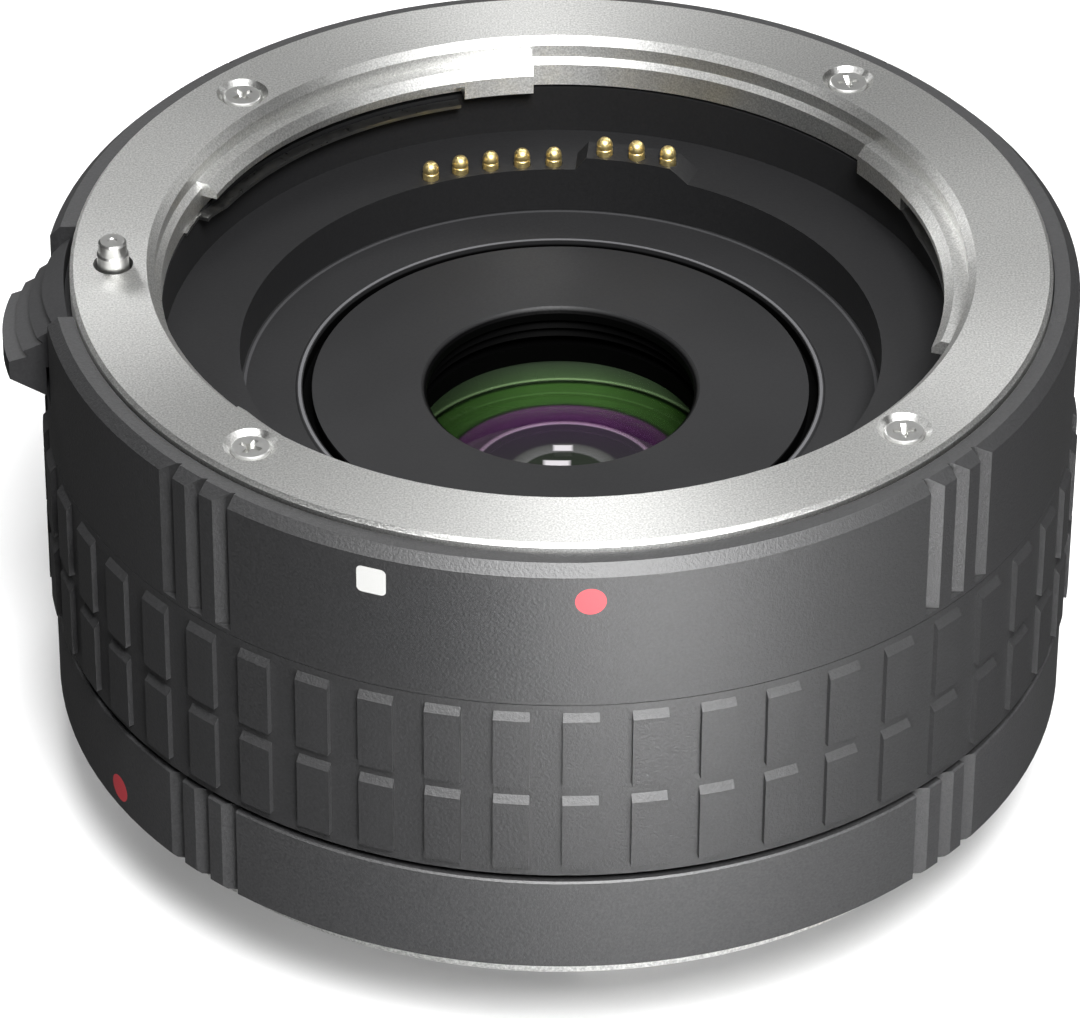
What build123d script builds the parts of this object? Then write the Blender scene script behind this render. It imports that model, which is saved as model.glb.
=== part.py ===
from build123d import *
import math
import os

# Camera teleconverter: a short barrel that goes between a lens and a camera body.
# Z is the optical axis. The origin is the centre of the camera-side flange face, and +Z points
# to the lens side. Lengths are in millimetres and angles in degrees, counted from +X towards +Y.
# A "depth" is measured from the lens-side flange face down along the axis.

# Overall form: the throat is the standard's own size, and the radii below step out and in from it.
# The depths add up from the lens-side flange to the camera-side one.
throat_radius = 26.5
mount_width = 5.5
cover_margin = 1.8
cover_wall = 1.7
mount_radius = throat_radius + mount_width
barrel_radius = mount_radius + cover_margin
cover_top_depth = 0.53
cover_top_chamfer = 0.68
cover_edge_chamfer = 0.2
slide_clearance = 0.05
thread_clearance = 0.03
overrun = 1.0

# Bayonet rings, the same standard on both sides
mount_plate = 2.0
mount_edge_chamfer = 0.25
throat_chamfer = 0.5
tab_depth = 1.4
tab_reach = 1.5
tab_chamfer = 0.6
tab_web = 1.0
tab_root = 0.5
gap_step = 0.4
collar_wall = 1.3
collar_height = 1.4
tab_radius = throat_radius - tab_reach
gap_radius = throat_radius - gap_step
collar_radius = gap_radius + collar_wall
collar_depth = mount_plate + collar_height

# Tabs as start angle, end angle, and the two angles between which the leaf spring lies under the tab
tab_angles = ((94.4, 156.5, 105.3, 157.5), (-17.5, 37.3, -18.5, 25.3), (217.0, 275.0, 226.0, 276.0))

# Screws of both bayonet rings
screw_inset = 2.5
screw_circle = throat_radius + screw_inset
screw_angle = 48.0
screw_count = 4
screw_head_radius = 1.6
screw_head_recess = 0.15
screw_shank_radius = 0.85
screw_length = 5.4
rear_screw_turn = 20.0

# Leaf springs under the tabs
leaf_thickness = 0.25
leaf_width = 0.8
leaf_inset = 0.2
leaf_root_show = 0.2
leaf_root_gap = 0.1
leaf_inner_radius = tab_radius + leaf_inset
leaf_outer_radius = leaf_inner_radius + leaf_width
leaf_root_inner_radius = gap_radius - leaf_root_show
leaf_root_radius = collar_radius - leaf_root_gap
leaf_root_angle = 6.0
leaf_tongue_angle = 1.2
leaf_ramp_angle = 5.0
leaf_arm_angle = 46.7
leaf_drop = 0.55

# Chamber moulding with its ledge
chamber_top_gap = 0.25
chamber_wall = 1.4
ledge_depth = 7.1
ledge_thickness = 1.2
ledge_width = 5.0
ledge_wall = 1.0
chamber_radius = gap_radius
chamber_outer_radius = chamber_radius + chamber_wall
ledge_inner_radius = chamber_radius - ledge_width

# Contacts on both sides
contact_inset = 0.8
contact_circle = ledge_inner_radius + contact_inset
contact_angles = (113.9, 108.3, 102.7, 97.0, 91.3, 82.2, 76.4, 70.6)
contact_step_first = 5
step_height = 0.95
step_margin = 1.3
step_outer_radius = contact_circle + step_margin
step_top_angles = (69.5, 85.3)
step_foot_angles = (66.0, 87.3)
block_angles = (64.0, 119.5)
block_margin = 2.7
block_outer_radius = contact_circle + block_margin
pin_radius = 0.55
pin_travel = 1.0
pin_stand = 0.2
pin_height = pin_travel + pin_stand
pin_dome = 0.5
pin_clearance = 0.05
pin_skin = 0.9
pin_shoulder_radius = 0.65
pin_shoulder_clearance = 0.05
pin_shoulder = 0.6
pin_tail_radius = 0.32
pin_tail = 1.2
contact_spring_outer = 0.62
contact_spring_inner = 0.42
block_screw_inset = 1.5
block_screw_circle = contact_circle + block_screw_inset
block_screw_angles = (66.6, 117.2)
block_screw_radius = 0.5
block_screw_head = 1.0
block_screw_head_height = 0.6
block_screw_length = 4.2

# Chassis tube that carries everything
shoulder_margin = 1.1
cover_flange = 1.0
web_thickness = 1.8
web_gap = 0.1
chassis_wall = 3.45
chassis_foot_step = 0.9
chassis_foot_height = 6.1
waist_cut = 1.45
waist_top_drop = 4.35
waist_bottom_rise = 0.95
cover_bore = barrel_radius - cover_wall
chassis_radius = cover_bore - slide_clearance
chassis_shoulder_radius = mount_radius - shoulder_margin
chassis_bore = chassis_radius - chassis_wall
chassis_foot_bore = chassis_bore - chassis_foot_step
waist_radius = chassis_radius - waist_cut

# Lens cell and its stack
shelf_drop = 3.25
cell_flange_thickness = 1.65
cell_flange_gap = 0.3
cell_tube_inset = 2.8
cell_lip_inset = 0.9
cell_lip_width = 0.35
cell_lip_height = 0.1
cell_screw_inset = 1.8
groove_depth = 1.05
disc_seat_drop = 3.25
disc_seat_width = 2.9
disc_gap = 0.65
front_seat_width = 2.2
rear_seat_step = 0.5
stop_thickness = 0.8
stop_width = 2.6
cell_end = 0.8
shelf_depth = ledge_depth + shelf_drop
web_top_depth = shelf_depth + cell_flange_thickness
web_bottom_depth = web_top_depth + web_thickness
block_bottom_depth = web_top_depth - web_gap
cell_flange_radius = chamber_radius - cell_flange_gap
cell_screw_circle = cell_flange_radius - cell_screw_inset
cell_tube_radius = ledge_inner_radius - cell_tube_inset
web_bore = cell_tube_radius + web_gap
cell_lip_radius = cell_tube_radius - cell_lip_inset
groove_outer_radius = cell_lip_radius - cell_lip_width
disc_radius = groove_outer_radius - disc_gap
disc_bore = disc_radius - disc_seat_width
disc_seat_depth = shelf_depth + disc_seat_drop
front_stack_bore = disc_bore - front_seat_width
rear_stack_bore = front_stack_bore - rear_seat_step
stop_radius = rear_stack_bore - stop_width
cell_screw_angles = (30.0, 150.0, 270.0)
cell_screw_radius = 0.8
cell_screw_head = 1.3
cell_screw_head_height = 0.8

# Front disc, the retaining rings and the spacers
disc_proud = 0.05
disc_top_depth = shelf_depth - disc_proud
opening_inset = 2.44
opening_radius = front_stack_bore - opening_inset
opening_bevel = 0.36
trap_step = 0.6
trap_rise = 0.25
trap_pitch = 0.8
trap_count = 3
rim_width = 1.8
rim_height = 1.35
rear_rim_width = 1.5
rear_rim_height = 1.3
spacer_width = 1.7
rim_radius = front_stack_bore - rim_width
rear_rim_radius = rear_stack_bore - rear_rim_width
spacer_inner_radius = front_stack_bore - spacer_width

# Glass, each element as edge thickness and the sag of its front and rear face (positive bulges out)
glass_clearance = 0.05
lens_1_edge = 2.6
lens_1_sags = (-1.0, -0.5)
lens_spacer_front_height = 0.8
lens_2_edge = 4.1
lens_2_sags = (0.75, 0.55)
lens_3_edge = 2.2
lens_3_sags = (-0.7, -0.5)
lens_spacer_rear_height = 1.1
lens_4_edge = 1.3
lens_4_sags = (0.6, -0.35)
lens_5_edge = 1.2
lens_5_sags = (0.3, 0.6)
aperture_margin = 0.1
glass_aperture_front = rim_radius
glass_aperture_middle = stop_radius - aperture_margin
glass_aperture_rear = rear_rim_radius - aperture_margin
rim_drop = 1.4
rim_depth = disc_seat_depth + rim_drop
stop_top_depth = rim_depth + lens_1_edge + lens_spacer_front_height + lens_2_edge
cell_bottom_depth = (stop_top_depth + stop_thickness + lens_3_edge + lens_spacer_rear_height
                     + lens_4_edge + lens_5_edge + rear_rim_height + cell_end)

# Grip band
grip_top_depth = 11.05
grip_height = 13.5
grip_bottom_depth = grip_top_depth + grip_height
waist_top_depth = grip_top_depth + waist_top_drop
waist_bottom_depth = grip_bottom_depth - waist_bottom_rise
pad_count = 49
pad_angle = 3.85
pad_phase = -89.65
pad_height = 0.38
pad_bevel = 0.48
pad_rows = ((0.55, 6.28), (7.11, 12.67))

# Lower cover
grip_seam = 0.61
lower_cover_height = 7.04
lower_cover_top_depth = grip_bottom_depth + grip_seam
flange_distance = lower_cover_top_depth + lower_cover_height + mount_plate
lower_cover_top_chamfer = 0.12

# Slanted grooves in both covers, in sets of three beside the screws, mirrored about one diameter
groove_mirror_angle = -87.4
groove_set_angles = (45.5, 134.5, 225.5, 314.5)
grooves_in_set = 3
groove_pitch = 4.05
groove_width = 1.3
groove_cut = 0.9
groove_end_gap = 0.3

# Alignment marks
mark_thickness = 0.25
mark_depth = 3.0
square_side = 1.95
square_corner = 0.35
square_angle = -110.2
dot_radius = 0.97
dot_angle = -86.85
rear_dot_depth = 30.4
rear_dot_angle = -148.3

# Lock pin, thumb lever and what joins them
lever_angle = -177.3
lock_pin_offset = 0.15
lock_pin_circle = screw_circle + lock_pin_offset
lock_pin_radius = 1.05
lock_pin_reach = 1.8
lock_pin_hole_radius = 1.3
lever_travel = 2.4
lever_crown_radius = 12.3
lever_crown_centre = barrel_radius - lever_crown_radius
lever_ridges = ((0.05, 1.72), (0.95, 2.95), (1.85, 4.0), (2.75, 4.85))
lever_ridge_notch = 0.3
lever_ridge_notch_drop = 0.42
lever_root_half_width = 4.8
lever_plan = ((-1.25, lever_root_half_width), (-0.75, 4.1), (3.2, 3.9))
lever_top_depth = 0.65
lever_tip_depth = 6.2
lever_bottom_depth = 7.75
lever_root = 0.5
lever_step_clearance = 0.3
lever_end_gap = 0.1
lever_pad_gap = 0.08
notch_gap = 0.45
pocket_wall = 0.45
pocket_gap = 0.45
pocket_bottom_depth = 14.2
carrier_plate = 1.0
carrier_edge = 0.1
carrier_ear_gap = 0.1
carrier_top_gap = 0.3
carrier_shelf = 1.2
carrier_shelf_width = 6.4
carrier_inner_gap = 0.1
carrier_bottom_depth = 5.8
spring_gap = 0.3
lever_spring_outer = 1.35
lever_spring_inner = 1.0
spring_boss_radius = 0.9
spring_boss_height = 1.0
lever_screw_offset = 2.6
lever_screw_depth = 3.45
lever_screw_head = 1.1
lever_screw_head_height = 0.65
lever_screw_radius = 0.6
lever_screw_bite = 1.5
lever_screw_end_gap = 0.3
lever_body_bottom_depth = lever_bottom_depth - lever_travel - lever_end_gap
lever_inner_reach = cover_bore - lever_root
notch_width = 2 * (lever_root_half_width + notch_gap)
pocket_reach = chamber_outer_radius + pocket_wall
pocket_width = notch_width + 2 * pocket_gap
carrier_width = 2 * (lever_root_half_width - carrier_edge)
carrier_ear_width = pocket_width - 2 * carrier_ear_gap
spring_centre = pocket_reach + lever_spring_outer + spring_gap

# Camera-side bayonet
mating_gap = 1.65
tube_wall = 1.45
tube_length = 5.6
tube_chamfer = 0.2
lug_reach = 1.05
lug_front = 3.5
lug_thickness = 1.4
lug_angles = ((99.0, 151.0), (-19.5, 30.5), (219.0, 273.0))
lock_slot_radius = 1.35
shim_thickness = 0.1
shim_edge = 0.1
tube_outer_radius = throat_radius - mating_gap
tube_inner_radius = tube_outer_radius - tube_wall
lug_radius = tube_outer_radius + lug_reach
shim_inner_radius = chassis_foot_bore + slide_clearance
shim_outer_radius = chassis_shoulder_radius - shim_edge

# Rear cup, contact holder and leads
cup_clearance = 0.1
cup_wall = 1.1
cup_floor = 1.2
cup_lip_gap = 0.3
cup_rim_gap = 0.6
cup_opening_margin = 1.8
cup_opening_flare = 1.2
cup_lip_radius = chassis_foot_bore - cup_lip_gap
cup_opening = rear_stack_bore + cup_opening_margin
rear_block_angles = (60.0, 124.0)
rear_block_width = 3.2
rear_block_inner_radius = tube_inner_radius - rear_block_width
rear_block_gap = 0.15
rear_block_end_gap = 0.4
rear_boss_angles = (67.0, 117.0)
rear_boss_inset = 0.5
boss_clearance = 0.1
pad_radius = 0.8
pad_proud = 0.1
pad_thickness = 0.35
rear_block_screw_angles = (62.3, 121.7)
rear_block_screw_inset = 1.5
rear_block_screw_circle = rear_block_inner_radius + rear_block_screw_inset
rear_block_screw_radius = 0.4
rear_block_screw_head = 0.75
rear_block_screw_head_height = 0.6
lead_thickness = 0.1
lead_gap = 0.3
lead_radius = cell_flange_radius + lead_gap
lead_angles = (86.0, 100.0)
lead_slot_margin = 1.5
lead_slot_gap = 0.4
chip_size = (4.0, 0.8, 3.2)
chip_depth = 20.0

# Worked out from the sizes above
step_depth = ledge_depth - step_height
rear_flange_top_depth = flange_distance - mount_plate
chassis_bottom_depth = rear_flange_top_depth - shim_thickness
tube_end_depth = flange_distance + tube_length
screw_angles = [screw_angle + 360 / screw_count * n for n in range(screw_count)]
rear_screw_angles = [angle + rear_screw_turn for angle in screw_angles]
shoulder_top_depth = ledge_depth + pin_skin + thread_clearance
shoulder_bottom_depth = shoulder_top_depth + pin_shoulder


def z_at(depth):
    """Height of a depth below the lens-side flange face."""
    return flange_distance - depth


def face_from(points):
    """Flat face in the XZ plane from (radius, depth) points."""
    outline = Polyline(*[(radius, z_at(depth)) for radius, depth in points], close=True)
    return Plane.XZ * make_face(outline)


def turned(points, start=0, sweep=360):
    """Solid of revolution about the optical axis from (radius, depth) points."""
    return Rot(0, 0, start) * revolve(face_from(points), Axis.Z, sweep)


def ring(outer, inner, top, bottom, start=0, sweep=360):
    """Plain ring, or a sector of one, between two depths."""
    return turned([(inner, top), (outer, top), (outer, bottom), (inner, bottom)], start, sweep)


def post(radius, top, bottom, circle=0, angle=0):
    """Upright cylinder between two depths, at a place on a circle."""
    shape = Cylinder(radius, bottom - top, align=(Align.CENTER, Align.CENTER, Align.MAX))
    return Rot(0, 0, angle) * Pos(circle, 0, z_at(top)) * shape


def cone_post(top_radius, bottom_radius, top, bottom, circle, angle):
    """Upright cone between two depths, at a place on a circle."""
    shape = Cone(bottom_radius, top_radius, bottom - top, align=(Align.CENTER, Align.CENTER, Align.MAX))
    return Rot(0, 0, angle) * Pos(circle, 0, z_at(top)) * shape


def block(reach_in, reach_out, width, top, bottom):
    """Box on the +X side, between two reaches from the axis and two depths."""
    shape = Box(reach_out - reach_in, width, bottom - top, align=(Align.MIN, Align.CENTER, Align.MAX))
    return Pos(reach_in, 0, z_at(top)) * shape


def tangent_prism(points, reach_in, reach_out, angle):
    """Outline of (tangential, depth) points at an angle, extruded outwards between two reaches."""
    outline = make_face(Polyline(*[(along, z_at(depth)) for along, depth in points], close=True))
    plane = Plane(origin=(reach_in, 0, 0), x_dir=(0, 1, 0), z_dir=(1, 0, 0))
    return Rot(0, 0, angle) * extrude(plane * outline, reach_out - reach_in)


def countersunk_hole(face_depth, towards, angle):
    """Clearance hole with its cone, from a mount face in the direction in which the screw goes."""
    mouth = screw_head_radius + screw_head_recess
    throat = screw_shank_radius + slide_clearance
    cone_end = face_depth + towards * (mouth - throat)
    if towards > 0:
        cone = cone_post(mouth, throat, face_depth, cone_end, screw_circle, angle)
        hole = post(throat, face_depth, face_depth + mount_plate + overrun, screw_circle, angle)
    else:
        cone = cone_post(throat, mouth, cone_end, face_depth, screw_circle, angle)
        hole = post(throat, face_depth - mount_plate - overrun, face_depth, screw_circle, angle)
    return cone + hole


def countersunk_screw(face_depth, towards, angle):
    """Countersunk screw that lies a little below its mount face."""
    throat = screw_shank_radius + slide_clearance
    head_depth = face_depth + towards * screw_head_recess
    cone_end = head_depth + towards * (screw_head_radius - throat)
    shank_end = face_depth + towards * screw_length
    if towards > 0:
        cone = cone_post(screw_head_radius, throat, head_depth, cone_end, screw_circle, angle)
        return cone + post(screw_shank_radius, cone_end, shank_end, screw_circle, angle)
    cone = cone_post(throat, screw_head_radius, cone_end, head_depth, screw_circle, angle)
    return cone + post(screw_shank_radius, shank_end, cone_end, screw_circle, angle)


def tab(start, end, leaf_start, leaf_end):
    """Inner bayonet tab, hollowed underneath where its leaf spring lies."""
    outer = gap_radius + tab_root
    outline = [(outer, tab_depth), (tab_radius + tab_chamfer, tab_depth),
               (tab_radius, tab_depth + tab_chamfer), (tab_radius, collar_depth), (outer, collar_depth)]
    body = turned(outline, start, end - start)
    low = max(start, leaf_start)
    high = min(end, leaf_end)
    pocket_start = low - (leaf_thickness if low == start else 0)
    pocket_end = high + (leaf_thickness if high == end else 0)
    pocket = ring(gap_radius, tab_radius - overrun, tab_depth + tab_web, collar_depth + overrun,
                  pocket_start, pocket_end - pocket_start)
    return body - pocket


def make_front_mount_ring():
    """Lens-side bayonet ring with throat, tabs and collar."""
    body = turned([(throat_radius + throat_chamfer, 0), (mount_radius - mount_edge_chamfer, 0),
                   (mount_radius, mount_edge_chamfer), (mount_radius, mount_plate),
                   (collar_radius, mount_plate), (collar_radius, collar_depth), (gap_radius, collar_depth),
                   (gap_radius, tab_depth + gap_step), (throat_radius, tab_depth),
                   (throat_radius, throat_chamfer)])
    for angles in tab_angles:
        body += tab(*angles)
    for angle in screw_angles:
        body -= countersunk_hole(0, 1, angle)
    return body - post(lock_pin_hole_radius, -overrun, mount_plate + overrun, lock_pin_circle, lever_angle)


def make_front_mount_screws():
    """Four screws that hold the lens-side ring to the chassis."""
    return [countersunk_screw(0, 1, angle) for angle in screw_angles]


def leaf_spring(root_angle):
    """Spring strip with a root clamped under the collar, a ramp and a long flat arm."""
    root_bottom = collar_depth + leaf_thickness
    root = ring(leaf_root_radius, leaf_root_inner_radius, collar_depth, root_bottom, root_angle,
                leaf_root_angle)
    root += ring(leaf_outer_radius, leaf_inner_radius, collar_depth, root_bottom, root_angle,
                 leaf_tongue_angle)
    arm_top = collar_depth + leaf_drop
    arm_end = root_angle - leaf_ramp_angle
    arm = ring(leaf_outer_radius, leaf_inner_radius, arm_top, arm_top + leaf_thickness,
               arm_end - leaf_arm_angle, leaf_arm_angle)
    middle = (leaf_inner_radius + leaf_outer_radius) / 2
    half = middle * math.radians(leaf_ramp_angle) / 2
    lap = leaf_thickness
    outline = [(-half - lap, arm_top), (-half, arm_top), (half, collar_depth), (half + lap, collar_depth),
               (half + lap, collar_depth + leaf_thickness), (half, collar_depth + leaf_thickness),
               (-half, arm_top + leaf_thickness), (-half - lap, arm_top + leaf_thickness)]
    ramp = tangent_prism(outline, leaf_inner_radius - overrun, leaf_outer_radius + overrun,
                         root_angle - leaf_ramp_angle / 2)
    trim = ring(leaf_outer_radius, leaf_inner_radius, tab_depth, arm_top + overrun)
    return root + arm + (ramp & trim)


def make_leaf_springs():
    """The three springs, each rooted at the far end of its tab."""
    names = ("leaf_spring_left", "leaf_spring_right", "leaf_spring_front")
    return {name: leaf_spring(angles[3]) for name, angles in zip(names, tab_angles)}


def make_chamber_ring():
    """Black moulding: outer wall, ledge and inner wall, open where the contact block stands."""
    top = collar_depth + chamber_top_gap
    body = turned([(chamber_radius, top), (chamber_outer_radius, top), (chamber_outer_radius, web_top_depth),
                   (chamber_radius, web_top_depth), (chamber_radius, ledge_depth + ledge_thickness),
                   (ledge_inner_radius + ledge_wall, ledge_depth + ledge_thickness),
                   (ledge_inner_radius + ledge_wall, shelf_depth), (ledge_inner_radius, shelf_depth),
                   (ledge_inner_radius, ledge_depth), (chamber_radius, ledge_depth)])
    start, end = block_angles
    window = ring(block_outer_radius, ledge_inner_radius - overrun, top, web_top_depth, start, end - start)
    return body - window


def contact_step():
    """Raised part of the contact block, with a sloped foot at each end."""
    inner, outer = ledge_inner_radius, step_outer_radius
    low, high = step_top_angles
    foot_low, foot_high = step_foot_angles
    body = ring(outer, inner, step_depth, ledge_depth + pin_skin, low, high - low)
    trim = ring(outer, inner, step_depth, ledge_depth + pin_skin)
    for edge, foot in ((low, foot_low), (high, foot_high)):
        run = contact_circle * math.radians(foot - edge)
        back = -math.copysign(slide_clearance, run)
        foot_depth = ledge_depth + slide_clearance
        outline = [(back, step_depth), (0, step_depth), (run, ledge_depth), (run, foot_depth),
                   (back, foot_depth)]
        body += tangent_prism(outline, inner - overrun, outer + overrun, edge) & trim
    return body


def make_contact_block():
    """Moulded holder of the lens-side plungers, which forms part of the ledge."""
    start, end = block_angles
    body = ring(block_outer_radius, ledge_inner_radius, ledge_depth, block_bottom_depth, start, end - start)
    body += contact_step()
    for angle in contact_angles:
        body -= post(pin_radius + pin_clearance, 0, block_bottom_depth, contact_circle, angle)
        body -= post(pin_shoulder_radius + pin_shoulder_clearance, ledge_depth + pin_skin,
                     block_bottom_depth + overrun, contact_circle, angle)
    for angle in block_screw_angles:
        body -= post(block_screw_radius + thread_clearance, web_bottom_depth - block_screw_length,
                     web_bottom_depth, block_screw_circle, angle)
    return body


def contact_pin(index, angle):
    """Domed plunger with a shoulder that stops it under the block's skin."""
    face = step_depth if index >= contact_step_first else ledge_depth
    stem = post(pin_radius, face - pin_height, shoulder_top_depth)
    stem = fillet(stem.edges().sort_by(Axis.Z)[-1], pin_dome)
    shoulder = post(pin_shoulder_radius, shoulder_top_depth, shoulder_bottom_depth)
    tail = post(pin_tail_radius, shoulder_bottom_depth, shoulder_bottom_depth + pin_tail)
    return Rot(0, 0, angle) * Pos(contact_circle, 0, 0) * (stem + shoulder + tail)


def contact_spring(angle):
    """Spring under a plunger, as the tube that its coils fill."""
    outer = post(contact_spring_outer, shoulder_bottom_depth, block_bottom_depth, contact_circle, angle)
    return outer - post(contact_spring_inner, 0, web_bottom_depth, contact_circle, angle)


def make_contacts():
    """Eight plungers and their springs, numbered from the left as the photograph shows them."""
    parts = {}
    for index, angle in enumerate(contact_angles):
        parts[f"contact_pin_{index + 1}"] = contact_pin(index, angle)
        parts[f"contact_spring_{index + 1}"] = contact_spring(angle)
    return parts


def make_contact_block_screws():
    """Two screws that come up through the chassis web into the block."""
    screws = []
    for angle in block_screw_angles:
        top = web_bottom_depth - block_screw_length + overrun
        shank = post(block_screw_radius, top, web_bottom_depth, block_screw_circle, angle)
        head = post(block_screw_head, web_bottom_depth, web_bottom_depth + block_screw_head_height,
                    block_screw_circle, angle)
        screws.append(shank + head)
    return screws


def lever_frame(shape):
    """Turn a shape made on +X to the place of the lever."""
    return Rot(0, 0, lever_angle) * shape


def make_chassis():
    """Inner tube with both end faces, the web for the lens cell, and the lever's pocket."""
    bore = chamber_outer_radius + slide_clearance
    step = chassis_bore - chassis_foot_bore
    foot_top = chassis_bottom_depth - chassis_foot_height
    body = turned([(bore, mount_plate), (chassis_shoulder_radius, mount_plate),
                   (chassis_shoulder_radius, mount_plate + cover_flange),
                   (chassis_radius, mount_plate + cover_flange), (chassis_radius, waist_top_depth),
                   (waist_radius, waist_top_depth), (waist_radius, waist_bottom_depth),
                   (chassis_radius, waist_bottom_depth),
                   (chassis_radius, rear_flange_top_depth - cover_flange),
                   (chassis_shoulder_radius, rear_flange_top_depth - cover_flange),
                   (chassis_shoulder_radius, chassis_bottom_depth),
                   (chassis_foot_bore, chassis_bottom_depth),
                   (chassis_foot_bore, foot_top), (chassis_bore, foot_top - step),
                   (chassis_bore, web_bottom_depth), (web_bore, web_bottom_depth), (web_bore, web_top_depth),
                   (bore, web_top_depth)])
    pocket = block(pocket_reach, barrel_radius, pocket_width, mount_plate - overrun, pocket_bottom_depth)
    body -= lever_frame(pocket)
    body += post(spring_boss_radius, pocket_bottom_depth - spring_boss_height,
                 pocket_bottom_depth + slide_clearance, spring_centre, lever_angle)
    hole = screw_shank_radius + thread_clearance
    for angle in screw_angles:
        body -= post(hole, mount_plate - overrun, screw_length, screw_circle, angle)
    for angle in rear_screw_angles:
        body -= post(hole, flange_distance - screw_length, flange_distance, screw_circle, angle)
    for angle in cell_screw_angles:
        body -= post(cell_screw_radius + thread_clearance, web_top_depth - overrun,
                     web_bottom_depth + overrun, cell_screw_circle, angle)
    for angle in block_screw_angles:
        body -= post(block_screw_radius + slide_clearance, web_top_depth - overrun,
                     web_bottom_depth + overrun, block_screw_circle, angle)
    start, end = lead_angles
    slot = ring(lead_radius + lead_slot_gap, lead_radius - lead_slot_gap - lead_thickness,
                web_top_depth - overrun, web_bottom_depth + overrun, start - lead_slot_margin,
                end - start + 2 * lead_slot_margin)
    return body - slot


def groove_cutter(angle, mirrored, top, bottom):
    """Slanted cut along the barrel: one steep side and one long slope."""
    side = -1 if mirrored else 1
    reach = barrel_radius + overrun
    slope_run = groove_width / groove_cut * overrun
    outline = make_face(Polyline((barrel_radius - groove_cut, 0), (barrel_radius, side * groove_width),
                                 (reach, side * (groove_width + slope_run)), (reach, 0), close=True))
    return Rot(0, 0, angle) * Pos(0, 0, z_at(bottom)) * extrude(outline, bottom - top)


def cut_grooves(body, top, bottom):
    """Three grooves beside each screw, slanted away from the front and back of the barrel."""
    for n, set_angle in enumerate(groove_set_angles):
        centre = groove_mirror_angle + set_angle
        mirrored = n % 2 == 1
        lean = -math.degrees(groove_width / barrel_radius) / 2 * (-1 if mirrored else 1)
        for step in range(grooves_in_set):
            angle = centre + (step - (grooves_in_set - 1) / 2) * groove_pitch + lean
            body -= groove_cutter(angle, mirrored, top, bottom)
    return body


def mark_prism(sketch, depth, angle):
    """Mark outline at a place on the barrel, as thick as the paint-filled recess."""
    plane = Plane(origin=(0, 0, z_at(depth)), x_dir=(0, 1, 0), z_dir=(1, 0, 0))
    prism = Rot(0, 0, angle) * extrude(plane * sketch, barrel_radius + overrun)
    return prism & ring(barrel_radius, barrel_radius - mark_thickness, depth - overrun - dot_radius,
                        depth + overrun + dot_radius)


def make_index_square():
    """White square that lines up with short lenses."""
    return mark_prism(RectangleRounded(square_side, square_side, square_corner), mark_depth, square_angle)


def make_index_dot_front():
    """Red dot that the lens is lined up with."""
    return mark_prism(Circle(dot_radius), mark_depth, dot_angle)


def make_index_dot_rear():
    """Red dot on the lower cover that is lined up with the camera."""
    return mark_prism(Circle(dot_radius), rear_dot_depth, rear_dot_angle)


def make_front_barrel():
    """Upper cover, clamped by its inner flange between the mount ring and the chassis."""
    chamfer_radius = barrel_radius - cover_top_chamfer
    flange_radius = chassis_shoulder_radius + slide_clearance
    bottom = grip_top_depth - slide_clearance
    body = turned([(cover_bore, cover_top_depth), (chamfer_radius, cover_top_depth),
                   (barrel_radius, cover_top_depth + cover_top_chamfer), (barrel_radius, bottom),
                   (cover_bore, bottom), (cover_bore, mount_plate + cover_flange),
                   (flange_radius, mount_plate + cover_flange), (flange_radius, mount_plate),
                   (cover_bore, mount_plate)])
    notch = block(pocket_reach, barrel_radius + overrun, notch_width, -overrun, lever_bottom_depth)
    body -= lever_frame(notch)
    body = cut_grooves(body, -overrun, bottom - groove_end_gap)
    return body - make_index_square() - make_index_dot_front()


def make_grip_ring():
    """Grip band with two rows of raised pads, bevelled at the top."""
    body = ring(barrel_radius, cover_bore, grip_top_depth, grip_bottom_depth)
    pads = []
    for top, bottom in pad_rows:
        upper = grip_top_depth + top
        lower = grip_top_depth + bottom
        outline = [(barrel_radius - pad_height, upper), (barrel_radius, upper),
                   (barrel_radius + pad_height, upper + pad_bevel), (barrel_radius + pad_height, lower),
                   (barrel_radius - pad_height, lower)]
        pad = turned(outline, pad_phase, pad_angle)
        pads += [Rot(0, 0, 360 / pad_count * n) * pad for n in range(pad_count)]
    return body.fuse(*pads)


def make_rear_barrel():
    """Lower cover, clamped by its inner flange between the chassis and the rear mount."""
    flange_radius = chassis_shoulder_radius + slide_clearance
    bottom = rear_flange_top_depth
    body = turned([(cover_bore, lower_cover_top_depth),
                   (barrel_radius - lower_cover_top_chamfer, lower_cover_top_depth),
                   (barrel_radius, lower_cover_top_depth + lower_cover_top_chamfer),
                   (barrel_radius, bottom - cover_edge_chamfer),
                   (barrel_radius - cover_edge_chamfer, bottom),
                   (flange_radius, bottom), (flange_radius, bottom - cover_flange),
                   (cover_bore, bottom - cover_flange)])
    body = cut_grooves(body, lower_cover_top_depth - overrun, bottom + overrun)
    return body - make_index_dot_rear()


def lever_plan_prism():
    """Outline of the lever seen from above, as tall as the lever: wide in the notch, narrower outside."""
    half = [(0, lever_root_half_width)] + [(barrel_radius + out, side) for out, side in lever_plan]
    points = half + [(reach, -side) for reach, side in reversed(half)]
    outline = make_face(Polyline(*points, close=True))
    return Pos(0, 0, z_at(lever_bottom_depth + overrun)) * extrude(outline, lever_bottom_depth + overrun)


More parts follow.
